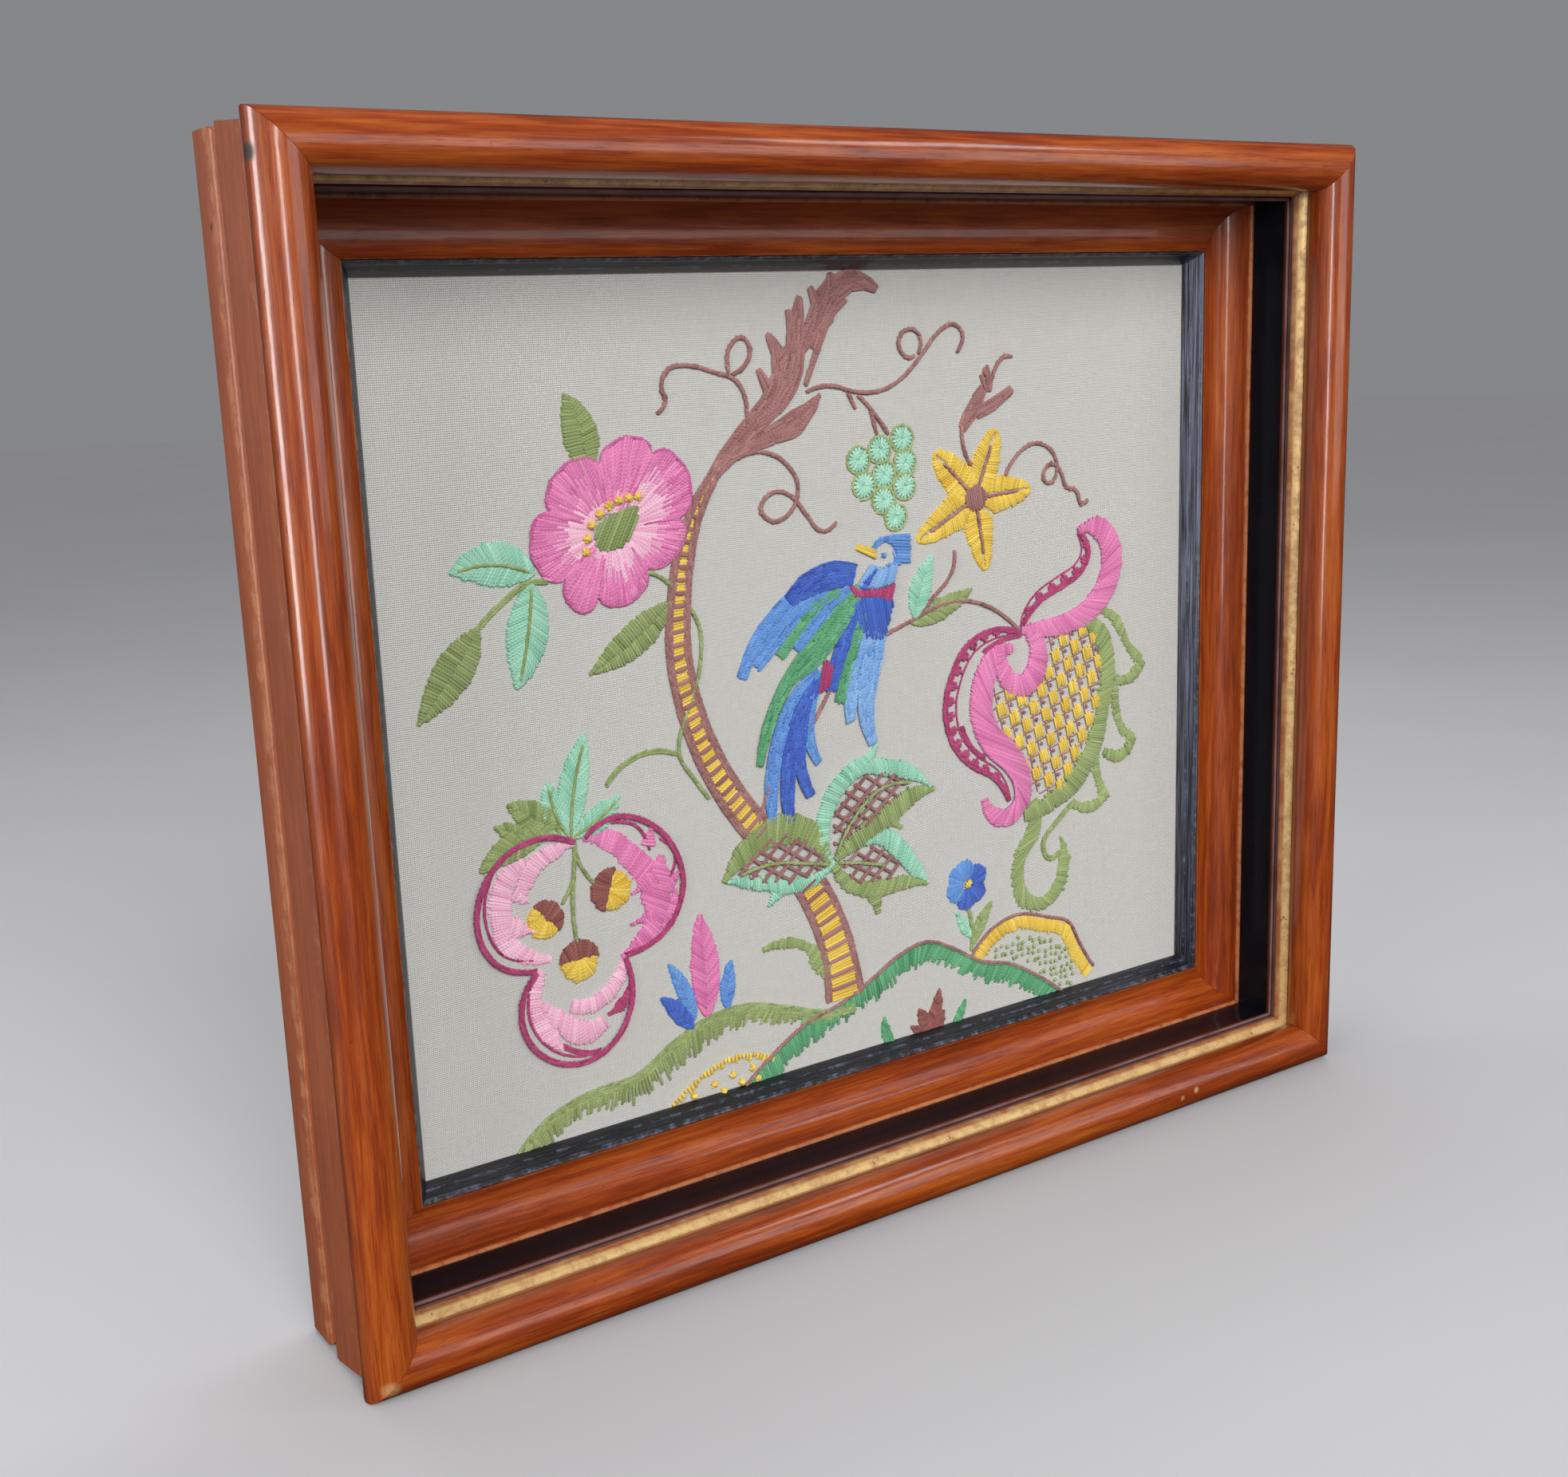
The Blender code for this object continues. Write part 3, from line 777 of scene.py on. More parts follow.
def acorn(centre, toward, radius):
    """Brown cup and yellow nut: each fans from its own half of a circle to part of the chord that they
    share."""
    centre, toward = np.array(centre, float), np.array(toward, float)
    axis = (toward - centre) / np.hypot(*(toward - centre))
    angle = math.degrees(math.atan2(axis[1], axis[0]))
    halves = [("brown", 0.4, 1.02, -86, 172, -0.2, 0.85, 0.4), ("yellow", -0.2, 0.97, 82, 196, 0.2, 0.3, 0.15)]
    for wool, shift, size, begin, sweep, nudge, part, lift in halves:
        rim = circle(centre + axis * shift, radius * size, angle + begin, sweep)
        seam = np.array([rim[0], rim[-1]]) + axis * nudge
        middle = seam.mean(0)
        satin(wool, rim, np.linspace(*(middle + (seam - middle) * part), 12), lift=lift)


def embroider_ground():
    """Hills along the lower edge with their flowers; their stitches run on below the frame's edge."""
    olive_hill = curve([(30, 271), (43, 260), (58, 255.5), (76, 254), (89, 246.5), (104, 241), (120, 240.5),
                        (136, 245.5), (151, 250.5), (164, 251)])
    buttonhole("olive", olive_hill, [8, 9, 9, 10.5, 11, 10, 8, 6.5, 4], ragged=0.42, slant=0.25)
    stem("olive", beside(olive_hill, -1.6), rows=3, lift=0.2)
    crown = curve([(84, 271), (97, 262), (110, 257.5), (122, 258.5), (130, 262)])
    satin("yellow", crown, beside(crown, -3.6), ragged=0.5, pitch=1.5)
    knots("yellow", [(91, 270.5), (96.5, 267.5), (101, 270.5), (104.5, 265.5), (108, 269), (112, 264.2),
                     (115.5, 267.5), (120, 263.5), (122, 268), (111, 272)], size=2.9)
    emerald_hill = curve([(116, 271), (128, 262), (142, 254), (158, 250), (171, 244.5), (184, 238),
                          (196, 235.8), (208, 241), (221, 249), (236, 253.5), (247, 260), (262, 271)])
    buttonhole("emerald", emerald_hill, [8, 9, 9, 8, 9, 9.5, 8, 7.5, 9, 8, 7], ragged=0.4, slant=0.25)
    stem("mauve", beside(emerald_hill, 0.6), width=1.15, lift=0.35)
    yellow_hill = curve([(217, 246), (225, 238.5), (239, 234.5), (254, 238.5), (265, 243), (270, 252),
                         (278, 264)])
    satin("yellow", beside(yellow_hill, -0.5), beside(yellow_hill, -6.3), ragged=0.12)
    stem("mauve", beside(yellow_hill, 0.3), width=1.1, lift=0.3)
    seeding("olive", loop([(226, 248), (238, 243), (252, 246), (263, 252), (268, 262), (266, 268),
                           (254, 262),
                            (242, 253)]), spacing=2.7, stitch=2.1)
    for base, tip, width in (((198, 272), (202, 254), 6), ((197, 270), (192, 260), 6),
                             ((198, 272), (188, 266), 5), ((199, 272), (204, 263), 5)):
        leaf("brown", base, tip, width)
    leaf("emerald", (180, 272), (176.5, 259), 5.0, bow=1.0)
    leaf("emerald", (207, 272), (214, 261), 4.0, bow=-0.8)
    leaf("pink", (103, 241), (101.5, 204), 11.5, bow=-0.8)
    leaf("mid_blue", (98, 240.5), (89, 219), 6.0, bow=-1.0)
    leaf("mid_blue", (111, 240), (113.5, 223), 6.5, bow=0.6)
    leaf("royal_blue", (97, 243.5), (85.5, 230), 6.5, bow=-0.6, lift=0.25)
    blossom = np.array([215.5, 218.0])
    for angle, wool in ((-100, "mid_blue"), (-30, "royal_blue"), (35, "royal_blue"), (95, "royal_blue"),
                        (165, "mid_blue"), (220, "mid_blue")):
        ray = compass(math.radians(angle))
        rim = circle(blossom + ray * 5.6, 4.3, angle - 95, 190)
        heel = blossom + (rim[[0, -1]] - blossom) * 0.3
        satin(wool, rim, np.linspace(*heel, 10), pitch=0.8)
    knots("yellow", [blossom, blossom + (0.6, -0.9)], size=2.6, lift=0.6)
    stem("olive", [(216, 227), (217.5, 235), (217, 244)], rows=2, gap=0.7, width=0.9)
    leaf("mint", (216.5, 238), (210, 227), 5.0)
    leaf("olive", (218, 241), (227.5, 226), 5.5, bow=0.8)


# ---------------------------------------------------------------- cloth and wool meshes

def cloth_height(x, y):
    """How far the cloth stands forward in metres at a place on the sight opening in millimetres: low waves
    where the stitches draw it in, fading out towards its held border."""
    edge = np.minimum(np.minimum(x + 6, SIGHT_W + 6 - x), np.minimum(y + 6, SIGHT_H + 6 - y))
    held = np.clip((edge - 8) / 18, 0, 1)
    held = held * held * (3 - 2 * held)
    wave = np.sin(x / 17.0 + 1.3 * np.sin(y / 29.0)) * np.sin(y / 21.0 + 0.9)
    wave = wave + 0.5 * np.sin(x / 41.0 - y / 33.0)
    return held * (0.05 + 0.09 * wave) * MM


def to_world(x, y, forward):
    """Metres in the object's frame for places on the cloth in millimetres and a height off its face."""
    return np.stack([SIGHT_LEFT + x * MM, CLOTH_LOW.y - cloth_height(x, y) - forward * MM,
                     SIGHT_TOP - y * MM], -1)


RING_SHARES = np.array([0.0, 0.3, 1.0])
RING_HEIGHTS = np.array([-0.55, 0.05, 0.46, 0.56, 0.46, 0.05, -0.55])
RING_SIZES = np.array([0.42, 0.86, 1.0, 1.04, 1.0, 0.86, 0.42])
AROUND = 6


def wool_mesh(name, rows):
    """Every stitch of one wool: an oval tube of seven rings that rises out of the cloth, lies nearly flat,
    and dips into it again. Its long turn is 0.9 mm or a third of its length, whichever is less."""
    start, end = rows[:, 0:2], rows[:, 2:4]
    width, height, lift, tone = rows[:, 4:8].T
    run = end - start
    length = np.hypot(*run.T)
    run = run / length[:, None]
    turn = np.minimum(0.9 / length, 0.33)
    near = turn[:, None] * RING_SHARES
    share = np.concatenate([near, np.full((len(rows), 1), 0.5), 1 - near[:, ::-1]], 1)
    angle = -2 * np.pi * np.arange(AROUND) / AROUND
    middle = start[:, None] + run[:, None] * (share * length[:, None])[:, :, None]
    sag = np.sin(np.pi * share) * np.minimum(length / 40, 0.12)[:, None]
    rise = RING_HEIGHTS * height[:, None] + (lift[:, None] - sag) * (RING_HEIGHTS > 0)
    across = np.stack([run[:, 1], -run[:, 0]], 1)
    reach = (RING_SIZES * width[:, None] / 2)[:, :, None] * np.cos(angle)
    points = middle[:, :, None] + across[:, None, None] * reach[..., None]
    forward = rise[:, :, None] + (RING_SIZES * height[:, None] / 2)[:, :, None] * np.sin(angle)
    world = to_world(points[..., 0], points[..., 1], forward)
    rings = len(RING_SIZES)
    quads, at_row, at_step = ring_quads(rings, AROUND)
    each = rings * AROUND
    base = (np.arange(len(rows)) * each)[:, None, None]
    caps = np.stack([np.arange(AROUND), each - 1 - np.arange(AROUND)])
    faces = [(quads[None] + base).reshape(-1, 4), (caps[None] + base).reshape(-1, AROUND)]
    along = (share * length[:, None])[:, at_row]
    tube_uv = np.stack([along, np.broadcast_to(at_step / AROUND, along.shape)], -1).reshape(-1, 2)
    cap_uv = np.zeros((len(rows) * 2 * AROUND, 2))
    mesh = new_mesh(name, world.reshape(-1, 3), faces, np.concatenate([tube_uv, cap_uv]))
    add_float(mesh, "tone", np.repeat(tone, each))
    return mesh


def cloth_mesh(name, step=3.0):
    """Closed sheet: a front and a back grid joined round the border, both on the cloth's height
    function."""
    x = np.linspace((CLOTH_LOW.x - SIGHT_LEFT) / MM, (CLOTH_HIGH.x - SIGHT_LEFT) / MM,
                    int((CLOTH_HIGH.x - CLOTH_LOW.x) / MM / step))
    y = np.linspace((SIGHT_TOP - CLOTH_HIGH.z) / MM, (SIGHT_TOP - CLOTH_LOW.z) / MM,
                    int((CLOTH_HIGH.z - CLOTH_LOW.z) / MM / step))
    gx, gy = np.meshgrid(x, y, indexing="ij")
    thick = (CLOTH_HIGH.y - CLOTH_LOW.y) / MM
    points = np.stack([to_world(gx, gy, 0.0), to_world(gx, gy, -thick)]).reshape(-1, 3)
    nx, ny = len(x), len(y)
    grid = np.arange(nx * ny).reshape(nx, ny)
    front = np.stack([grid[:-1, :-1], grid[:-1, 1:], grid[1:, 1:], grid[1:, :-1]], -1).reshape(-1, 4)
    back = front[:, ::-1] + nx * ny
    rim = np.concatenate([grid[:, 0], grid[-1, 1:], grid[-2::-1, -1], grid[0, -2:0:-1]])
    after = np.roll(rim, -1)
    border = np.stack([rim, after, after + nx * ny, rim + nx * ny], 1)
    return new_mesh(name, points, [np.concatenate([front, back, border])])


# ---------------------------------------------------------------- materials

def connect(tree, made, inputs):
    """Give a node its inputs: each is a number or colour, set on the socket, or another node's output."""
    for key, value in inputs.items():
        if isinstance(value, bpy.types.NodeSocket):
            tree.links.new(value, made.inputs[key])
        else:
            made.inputs[key].default_value = value


def node(tree, kind, inputs=None, **settings):
    """A node with its settings and inputs."""
    made = tree.nodes.new("ShaderNode" + kind)
    for key, value in settings.items():
        setattr(made, key, value)
    connect(tree, made, inputs or {})
    return made


def colour(red, green, blue):
    """Screen colour from 0 to 255 turned into the renderer's linear light."""
    share = np.array([red, green, blue]) / 255.0
    linear = np.where(share <= 0.04045, share / 12.92, ((share + 0.055) / 1.055) ** 2.4)
    return (*linear.tolist(), 1.0)


def maths(tree, operation, *values, clamp=False):
    """Output of a Math node."""
    return node(tree, "Math", dict(enumerate(values)), operation=operation, use_clamp=clamp).outputs[0]


def times(tree, first, second):
    """Product of two values."""
    return maths(tree, "MULTIPLY", first, second)


def larger(tree, first, second):
    """The larger of two values."""
    return maths(tree, "MAXIMUM", first, second)


def blend_colours(tree, factor, first, second):
    """Output of a colour Mix node."""
    return node(tree, "Mix", {0: factor, 6: first, 7: second}, data_type="RGBA").outputs[2]


def glaze(tree, under, mask, strength, *shade):
    """A shade laid over another colour, at a strength, where a mask lets it."""
    return blend_colours(tree, times(tree, mask, strength), under, colour(*shade))


def spread(tree, value, low, high, to_low=0.0, to_high=1.0):
    """Output of a Map Range node that holds its ends."""
    return node(tree, "MapRange", {"Value": value, "From Min": low, "From Max": high, "To Min": to_low,
                                   "To Max": to_high}).outputs[0]


def noise(tree, vector, scale, detail=3.0, roughness=0.55, distortion=0.0):
    """Output of a Noise Texture node."""
    return node(tree, "TexNoise", {"Vector": vector, "Scale": scale, "Detail": detail,
                                   "Roughness": roughness,
                                   "Distortion": distortion}).outputs[0]


def stretched(tree, vector, scale, turn=(0.0, 0.0, 0.0)):
    """Output of a Mapping node that scales, and if asked turns, a coordinate."""
    return node(tree, "Mapping", {"Vector": vector, "Scale": scale, "Rotation": turn}).outputs[0]


def shader_group(name, inputs, outputs):
    """Empty node group with named sockets; returns its tree, its inputs by name and its output node."""
    tree = bpy.data.node_groups.new(name, "ShaderNodeTree")
    kinds = {"value": "NodeSocketFloat", "colour": "NodeSocketColor", "vector": "NodeSocketVector"}
    for label, kind, default in inputs:
        socket = tree.interface.new_socket(label, in_out="INPUT", socket_type=kinds[kind])
        if default is not None:
            socket.default_value = default
    for label, kind in outputs:
        tree.interface.new_socket(label, in_out="OUTPUT", socket_type=kinds[kind])
    entry = tree.nodes.new("NodeGroupInput")
    leave = tree.nodes.new("NodeGroupOutput")
    return tree, {label: entry.outputs[label] for label, _, _ in inputs}, leave


def put(tree, group, **inputs):
    """Outputs of a group placed in a material, with its inputs given by name."""
    placed = node(tree, "Group", node_tree=group)
    connect(tree, placed, inputs)
    return placed.outputs


def timber_group():
    """Straight-grained timber on UV in metres: long streaks, fine pores drawn out along the rail, and broad
    soft changes of shade."""
    tree, given, out = shader_group("Timber grain", [
        ("Place", "vector", None), ("Light", "colour", None), ("Middle", "colour", None),
        ("Dark", "colour", None),
        ("Figure", "value", 1.0)], [("Colour", "colour"), ("Height", "value")])

    def drawn_out(along, across, detail, roughness, distortion=0.0):
        """Noise whose scale differs along and across the rail."""
        place = stretched(tree, given["Place"], (along, across, 1))
        return noise(tree, place, 1.0, detail, roughness, distortion)

    streak = drawn_out(30, 460, 5.0, 0.62, 0.35)
    fine = drawn_out(60, 2600, 3.0, 0.6)
    broad = drawn_out(9, 60, 2.0, 0.5)
    mixed = maths(tree, "MULTIPLY_ADD", fine, 0.35, times(tree, streak, 0.65))
    mixed = maths(tree, "MULTIPLY_ADD", maths(tree, "SUBTRACT", broad, 0.5), 0.45, mixed)
    shade = spread(tree, mixed, 0.24, 0.76)
    low = blend_colours(tree, spread(tree, shade, 0.0, 0.5), given["Dark"], given["Middle"])
    full = blend_colours(tree, spread(tree, shade, 0.45, 1.0), low, given["Light"])
    flecks = times(tree, spread(tree, drawn_out(150, 3400, 2.0, 0.5), 0.62, 0.74), given["Figure"])
    connect(tree, out, {"Colour": blend_colours(tree, times(tree, flecks, 0.45), full, given["Dark"]),
                        "Height": maths(tree, "SUBTRACT", times(tree, fine, 0.5), flecks)})
    return tree


def wear_group():
    """Rubbed edges: the edge attribute, broken up by noise on Object coordinates."""
    tree, given, out = shader_group("Edge wear", [
        ("Edge", "value", 0.0), ("Place", "vector", None), ("Grain", "value", 90.0),
        ("Amount", "value", 0.5)],
        [("Mask", "value")])
    patch = noise(tree, given["Place"], given["Grain"], 5.0, 0.68)
    worn = maths(tree, "ADD", times(tree, given["Edge"], given["Amount"]), patch)
    connect(tree, out, {"Mask": spread(tree, worn, 0.86, 1.02)})
    return tree


def speck_group():
    """Small scattered specks of dust or rubbing: the cores of Voronoi cells, where a noise lets them
    show."""
    tree, given, out = shader_group("Specks", [
        ("Place", "vector", None), ("Size", "value", 700.0), ("Amount", "value", 0.3)], [("Mask", "value")])
    cell = node(tree, "TexVoronoi", {"Vector": given["Place"], "Scale": given["Size"]}).outputs["Distance"]
    patch = noise(tree, given["Place"], times(tree, given["Size"], 0.21), 3.0, 0.6)
    reach = times(tree, spread(tree, patch, 0.5, 0.75), given["Amount"])
    connect(tree, out, {"Mask": spread(tree, maths(tree, "SUBTRACT", reach, cell), 0.0, 0.12)})
    return tree


def weave_group():
    """Plain weave on Object coordinates: warp and weft are sine ridges that take turns on top, and noise
    drawn out along each thread makes thick and thin places."""
    tree, given, out = shader_group("Plain weave", [("Place", "vector", None),
                                                    ("Threads", "value", 1560.0)],
                                    [("Height", "value"), ("Slub", "value"), ("Gap shade", "value")])
    slow = node(tree, "TexNoise", {"Vector": given["Place"], "Scale": 9.0, "Detail": 1.0}).outputs["Color"]
    drift = node(tree, "VectorMath", {0: slow, 1: (0.5, 0.5, 0.5)}, operation="SUBTRACT").outputs[0]
    drift = node(tree, "VectorMath", {0: drift, "Scale": 0.0022}, operation="SCALE").outputs[0]
    place = node(tree, "VectorMath", {0: given["Place"], 1: drift}, operation="ADD").outputs[0]
    parts = node(tree, "SeparateXYZ", {"Vector": place}).outputs
    turns = times(tree, given["Threads"], math.pi)
    phases, ridges, slubs, tops = [], [], [], []
    for axis, scale in (("X", (1500, 1, 160)), ("Z", (160, 1, 1500))):
        phases.append(times(tree, parts[axis], turns))
        ridges.append(maths(tree, "ABSOLUTE", maths(tree, "SINE", phases[-1])))
        slubs.append(noise(tree, stretched(tree, place, scale), 1.0, 2.0, 0.6))
        tops.append(times(tree, ridges[-1], maths(tree, "ADD", slubs[-1], 0.45)))
    over = times(tree, *[maths(tree, "COSINE", phase) for phase in phases])
    over = spread(tree, over, -0.4, 0.4)
    height, slub = [node(tree, "Mix", {0: over, 2: warp, 3: weft}, data_type="FLOAT").outputs[0]
                    for warp, weft in (tops, slubs)]
    # The gap mask is where neither thread rises; the linen paints shade there.
    connect(tree, out, {"Height": height, "Slub": slub,
                        "Gap shade": spread(tree, larger(tree, *ridges), 0.15, 0.7, 1.0, 0.0)})
    return tree


def twist_group():
    """Two-ply wool on UV (millimetres along, turns round): slanting sine ridges, and fine fuzz."""
    tree, given, out = shader_group("Wool twist", [("Along", "vector", None), ("Place", "vector", None)],
                                    [("Height", "value")])
    parts = node(tree, "SeparateXYZ", {"Vector": given["Along"]}).outputs
    turn = maths(tree, "MULTIPLY_ADD", parts["Y"], 2 * math.tau, times(tree, parts["X"], 5.2))
    ply = maths(tree, "MULTIPLY_ADD", maths(tree, "SINE", turn), 0.5, 0.5)
    fuzz = noise(tree, given["Place"], 5200.0, 3.0, 0.7)
    connect(tree, out, {"Height": maths(tree, "MULTIPLY_ADD", fuzz, 0.7, ply)})
    return tree


TIMBER, WEAR, SPECKS, WEAVE, TWIST = timber_group(), wear_group(), speck_group(), weave_group(), twist_group()


def new_material(name):
    """Material with a Principled shader; returns it, its tree, the shader, and its usual coordinates."""
    material = bpy.data.materials.new(name)
    material.use_nodes = True
    tree = material.node_tree
    shader = tree.nodes["Principled BSDF"]
    coordinates = tree.nodes.new("ShaderNodeTexCoord")
    return material, tree, shader, coordinates.outputs["Object"], coordinates.outputs["UV"]


def mesh_value(tree, name):
    """A mesh's own value, point by point. On a moulding edge is 1 on an arris and 0 away from it, and
    inset and depth are a section point's millimetres from the frame's outer side and from its face; on
    wool, tone is a stitch's shade."""
    return node(tree, "Attribute", attribute_name=name).outputs["Fac"]


def wear(tree, place, grain, amount):
    """Mask of a moulding's rubbed edges."""
    return put(tree, WEAR, Edge=mesh_value(tree, "edge"), Place=place, Grain=grain, Amount=amount)["Mask"]


def scatter(tree, place, size, amount):
    """Mask of scattered specks."""
    return put(tree, SPECKS, Place=place, Size=size, Amount=amount)["Mask"]


def finish(tree, shader, height, distance, **inputs):
    """The shader's inputs by name, and a Bump node from a height for its Normal."""
    inputs["Normal"] = node(tree, "Bump", {"Height": height, "Distance": distance,
                                           "Strength": 1.0}).outputs[0]
    connect(tree, shader, {key.replace("_", " "): value for key, value in inputs.items()})


def spot(tree, place, centre, radius):
    """Soft round mask about a point on the object."""
    away = node(tree, "VectorMath", {0: place, 1: centre}, operation="DISTANCE").outputs["Value"]
    return spread(tree, away, radius * 0.55, radius, 1.0, 0.0)


def mahogany_material():
    """French-polished red mahogany, rubbed pale along its arrises, a tone that is partly a painted highlight
    on those edges, with a few old marks.
    The polish is thinner on the cove, stops at the side bands, which are duller and paler, and leaves the back
    raw."""
    material, tree, shader, place, along = new_material("mahogany_polish")
    grain = put(tree, TIMBER, Place=along, Light=colour(186, 98, 32), Middle=colour(144, 57, 12),
                Dark=colour(80, 25, 6), Figure=0.9)
    depth = mesh_value(tree, "depth")
    inset = mesh_value(tree, "inset")
    plain = times(tree, spread(tree, depth, 15.6, 16.6), spread(tree, inset, 3.0, 4.0, 1.0, 0.0))
    raw = spread(tree, depth, 55.2, 55.9)
    worn = wear(tree, place, 160.0, 0.50)
    specks = scatter(tree, place, 420.0, 0.30)
    tint = glaze(tree, grain["Colour"], plain, 0.55, 164, 92, 60)
    tint = glaze(tree, tint, raw, 0.75, 140, 100, 74)
    # The pale arris tone is partly wear and partly a painted highlight along the edges.
    tint = glaze(tree, tint, worn, 0.5, 198, 136, 92)
    tint = glaze(tree, tint, specks, 0.45, 58, 22, 12)
    marked = 0.0
    for centre, radius, paint, strength in MARKS:
        here = times(tree, spot(tree, place, centre, radius), strength)
        tint = blend_colours(tree, here, tint, paint)
        marked = larger(tree, marked, here)
    handling = noise(tree, place, 38.0, 5.0, 0.7)
    bare = larger(tree, times(tree, plain, 0.6), larger(tree, raw, worn))
    bare = larger(tree, bare, marked)
    bare = larger(tree, bare, spread(tree, inset, 18.0, 20.0, 0.0, 0.45))
    rough = maths(tree, "MULTIPLY_ADD", bare, 0.3, spread(tree, handling, 0.3, 0.75, 0.26, 0.42))
    polish = spread(tree, handling, 0.45, 0.8, 0.75, 0.5)
    coat = maths(tree, "MULTIPLY_ADD", bare, -0.7, polish, clamp=True)
    height = maths(tree, "MULTIPLY_ADD", worn, -0.8, grain["Height"])
    finish(tree, shader, height, 0.00009, Base_Color=tint, Roughness=rough, Coat_Weight=coat,
           Coat_Roughness=0.12,
           Coat_IOR=1.5, Specular_IOR_Level=0.45)
    return material


def gilt_material():
    """Old gilding: pale warm yellow, with specks rubbed through to brown, and the red ground bare on the
    inner fall of the bead, which also serves as painted shade on that facet."""
    material, tree, shader, place, along = new_material("gilt_leaf")
    leaf_shade = noise(tree, stretched(tree, along, (26, 520, 1)), 1.0, 4.0, 0.6)
    base = blend_colours(tree, leaf_shade, colour(204, 158, 98), colour(240, 210, 146))
    worn = wear(tree, place, 240.0, 0.42)
    specks = scatter(tree, place, 560.0, 0.5)
    # Red ground on the inner fall of the bead: partly bare bole, partly painted shade on that facet.
    bole_and_shade = times(tree, spread(tree, mesh_value(tree, "inset"), 16.3, 16.8),
                   spread(tree, noise(tree, place, 150.0), 0.3, 0.6, 0.55, 1.0))
    tint = glaze(tree, base, specks, 0.8, 122, 66, 28)
    tint = glaze(tree, tint, worn, 0.55, 150, 96, 60)
    tint = glaze(tree, tint, bole_and_shade, 0.9, 138, 62, 28)
    bare = larger(tree, bole_and_shade, larger(tree, specks, worn))
    finish(tree, shader, maths(tree, "MULTIPLY_ADD", specks, -0.7, leaf_shade), 0.00006, Base_Color=tint,
           Metallic=spread(tree, bare, 0.0, 1.0, 0.3, 0.0), Roughness=spread(tree, leaf_shade, 0.3, 0.8,
                                                                             0.34, 0.5))
    return material


def satin_black_material():
    """Black lacquer with a low shine and some dust; its lip is stained brown and pale on the
    crown, the pale line partly rubbed paint and partly a painted highlight."""
    material, tree, shader, place, along = new_material("black_lacquer")
    cloud = noise(tree, place, 60.0, 4.0, 0.6)
    depth = mesh_value(tree, "depth")
    lip = spread(tree, depth, 19.4, 20.0, 1.0, 0.0)
    # Pale mauve line on the lip's crown: partly rubbed paint, partly a painted highlight on the arris.
    crown = times(tree, spread(tree, depth, 18.25, 18.6, 1.0, 0.0), spread(tree, cloud, 0.3, 0.6, 0.4, 1.0))
    tint = blend_colours(tree, cloud, colour(10, 12, 16), colour(24, 27, 34))
    tint = glaze(tree, tint, scatter(tree, place, 900.0, 0.3), 0.3, 96, 94, 92)
    stain = blend_colours(tree, cloud, colour(62, 30, 20), colour(98, 54, 36))
    tint = glaze(tree, blend_colours(tree, lip, tint, stain), crown, 0.6, 138, 112, 116)
    brushed = noise(tree, stretched(tree, along, (30, 1500, 1)), 1.0, 2.0, 0.5)
    finish(tree, shader, brushed, 0.00003, Base_Color=tint, Roughness=spread(tree, cloud, 0.3, 0.7, 0.14,
                                                                             0.24),
           Specular_IOR_Level=0.08)
    return material


def ebonised_material():
    """Ebonised slip: thin blue-black paint dragged along the wood, dry and pale on its ridges, the pale
    blue-grey partly a painted sheen; its streaks down the upper right side are a painted sheen."""
    material, tree, shader, place, along = new_material("ebonised_slip")
    drag = noise(tree, stretched(tree, along, (26, 1900, 1)), 1.0, 4.0, 0.7)
    patch = noise(tree, place, 26.0, 3.0, 0.6)
    dry_paint_and_sheen = times(tree, spread(tree, drag, 0.54, 0.7), spread(tree, patch, 0.42, 0.66, 0.06, 0.5))
    dry_paint_and_sheen = larger(tree, dry_paint_and_sheen, times(tree, wear(tree, place, 260.0, 0.42), 0.6))
    parts = node(tree, "SeparateXYZ", {"Vector": place}).outputs
    # Painted sheen: the right slip's upper part is streaked pale blue-grey where it would reflect light.
    sheen_right = times(tree, spread(tree, parts["X"], SIGHT_RIGHT - 0.002, SIGHT_RIGHT),
                   spread(tree, parts["Z"], SIGHT_BOTTOM + 0.02, SIGHT_BOTTOM + 0.16, 0.25, 0.9))
    dry_paint_and_sheen = larger(tree, dry_paint_and_sheen, times(tree, sheen_right, spread(tree, drag, 0.44, 0.6)))
    # The pale blue-grey over the ridges is partly dry paint and partly a painted sheen.
    tint = glaze(tree, colour(10, 12, 21), dry_paint_and_sheen, 0.7, 132, 140, 168)
    finish(tree, shader, drag, 0.00022, Base_Color=tint, Roughness=spread(tree, dry_paint_and_sheen, 0.0, 1.0, 0.3, 0.5),
           Specular_IOR_Level=0.9)
    return material


def linen_material():
    """Unbleached linen: ivory grey plain weave with slubs, painted shade in the gaps between threads, faint
    age marks.
    """
    material, tree, shader, place, _ = new_material("linen_weave")
    weave = put(tree, WEAVE, Place=place, Threads=1560.0)
    cloud = noise(tree, place, 9.0, 3.0, 0.55)
    base = blend_colours(tree, cloud, colour(204, 202, 195), colour(210, 208, 202))
    base = blend_colours(tree, spread(tree, weave["Slub"], 0.36, 0.68), base, colour(220, 219, 213))
    # Painted shade: the gaps between threads are darkened.
    base = glaze(tree, base, weave["Gap shade"], 0.65, 146, 143, 134)
    foxing = spread(tree, noise(tree, place, 55.0, 2.0, 0.5), 0.66, 0.8)
    base = glaze(tree, base, foxing, 0.12, 186, 160, 120)
    finish(tree, shader, weave["Height"], 0.00022, Base_Color=base, Roughness=0.9, Specular_IOR_Level=0.25,
           Sheen_Weight=0.12)
    return material


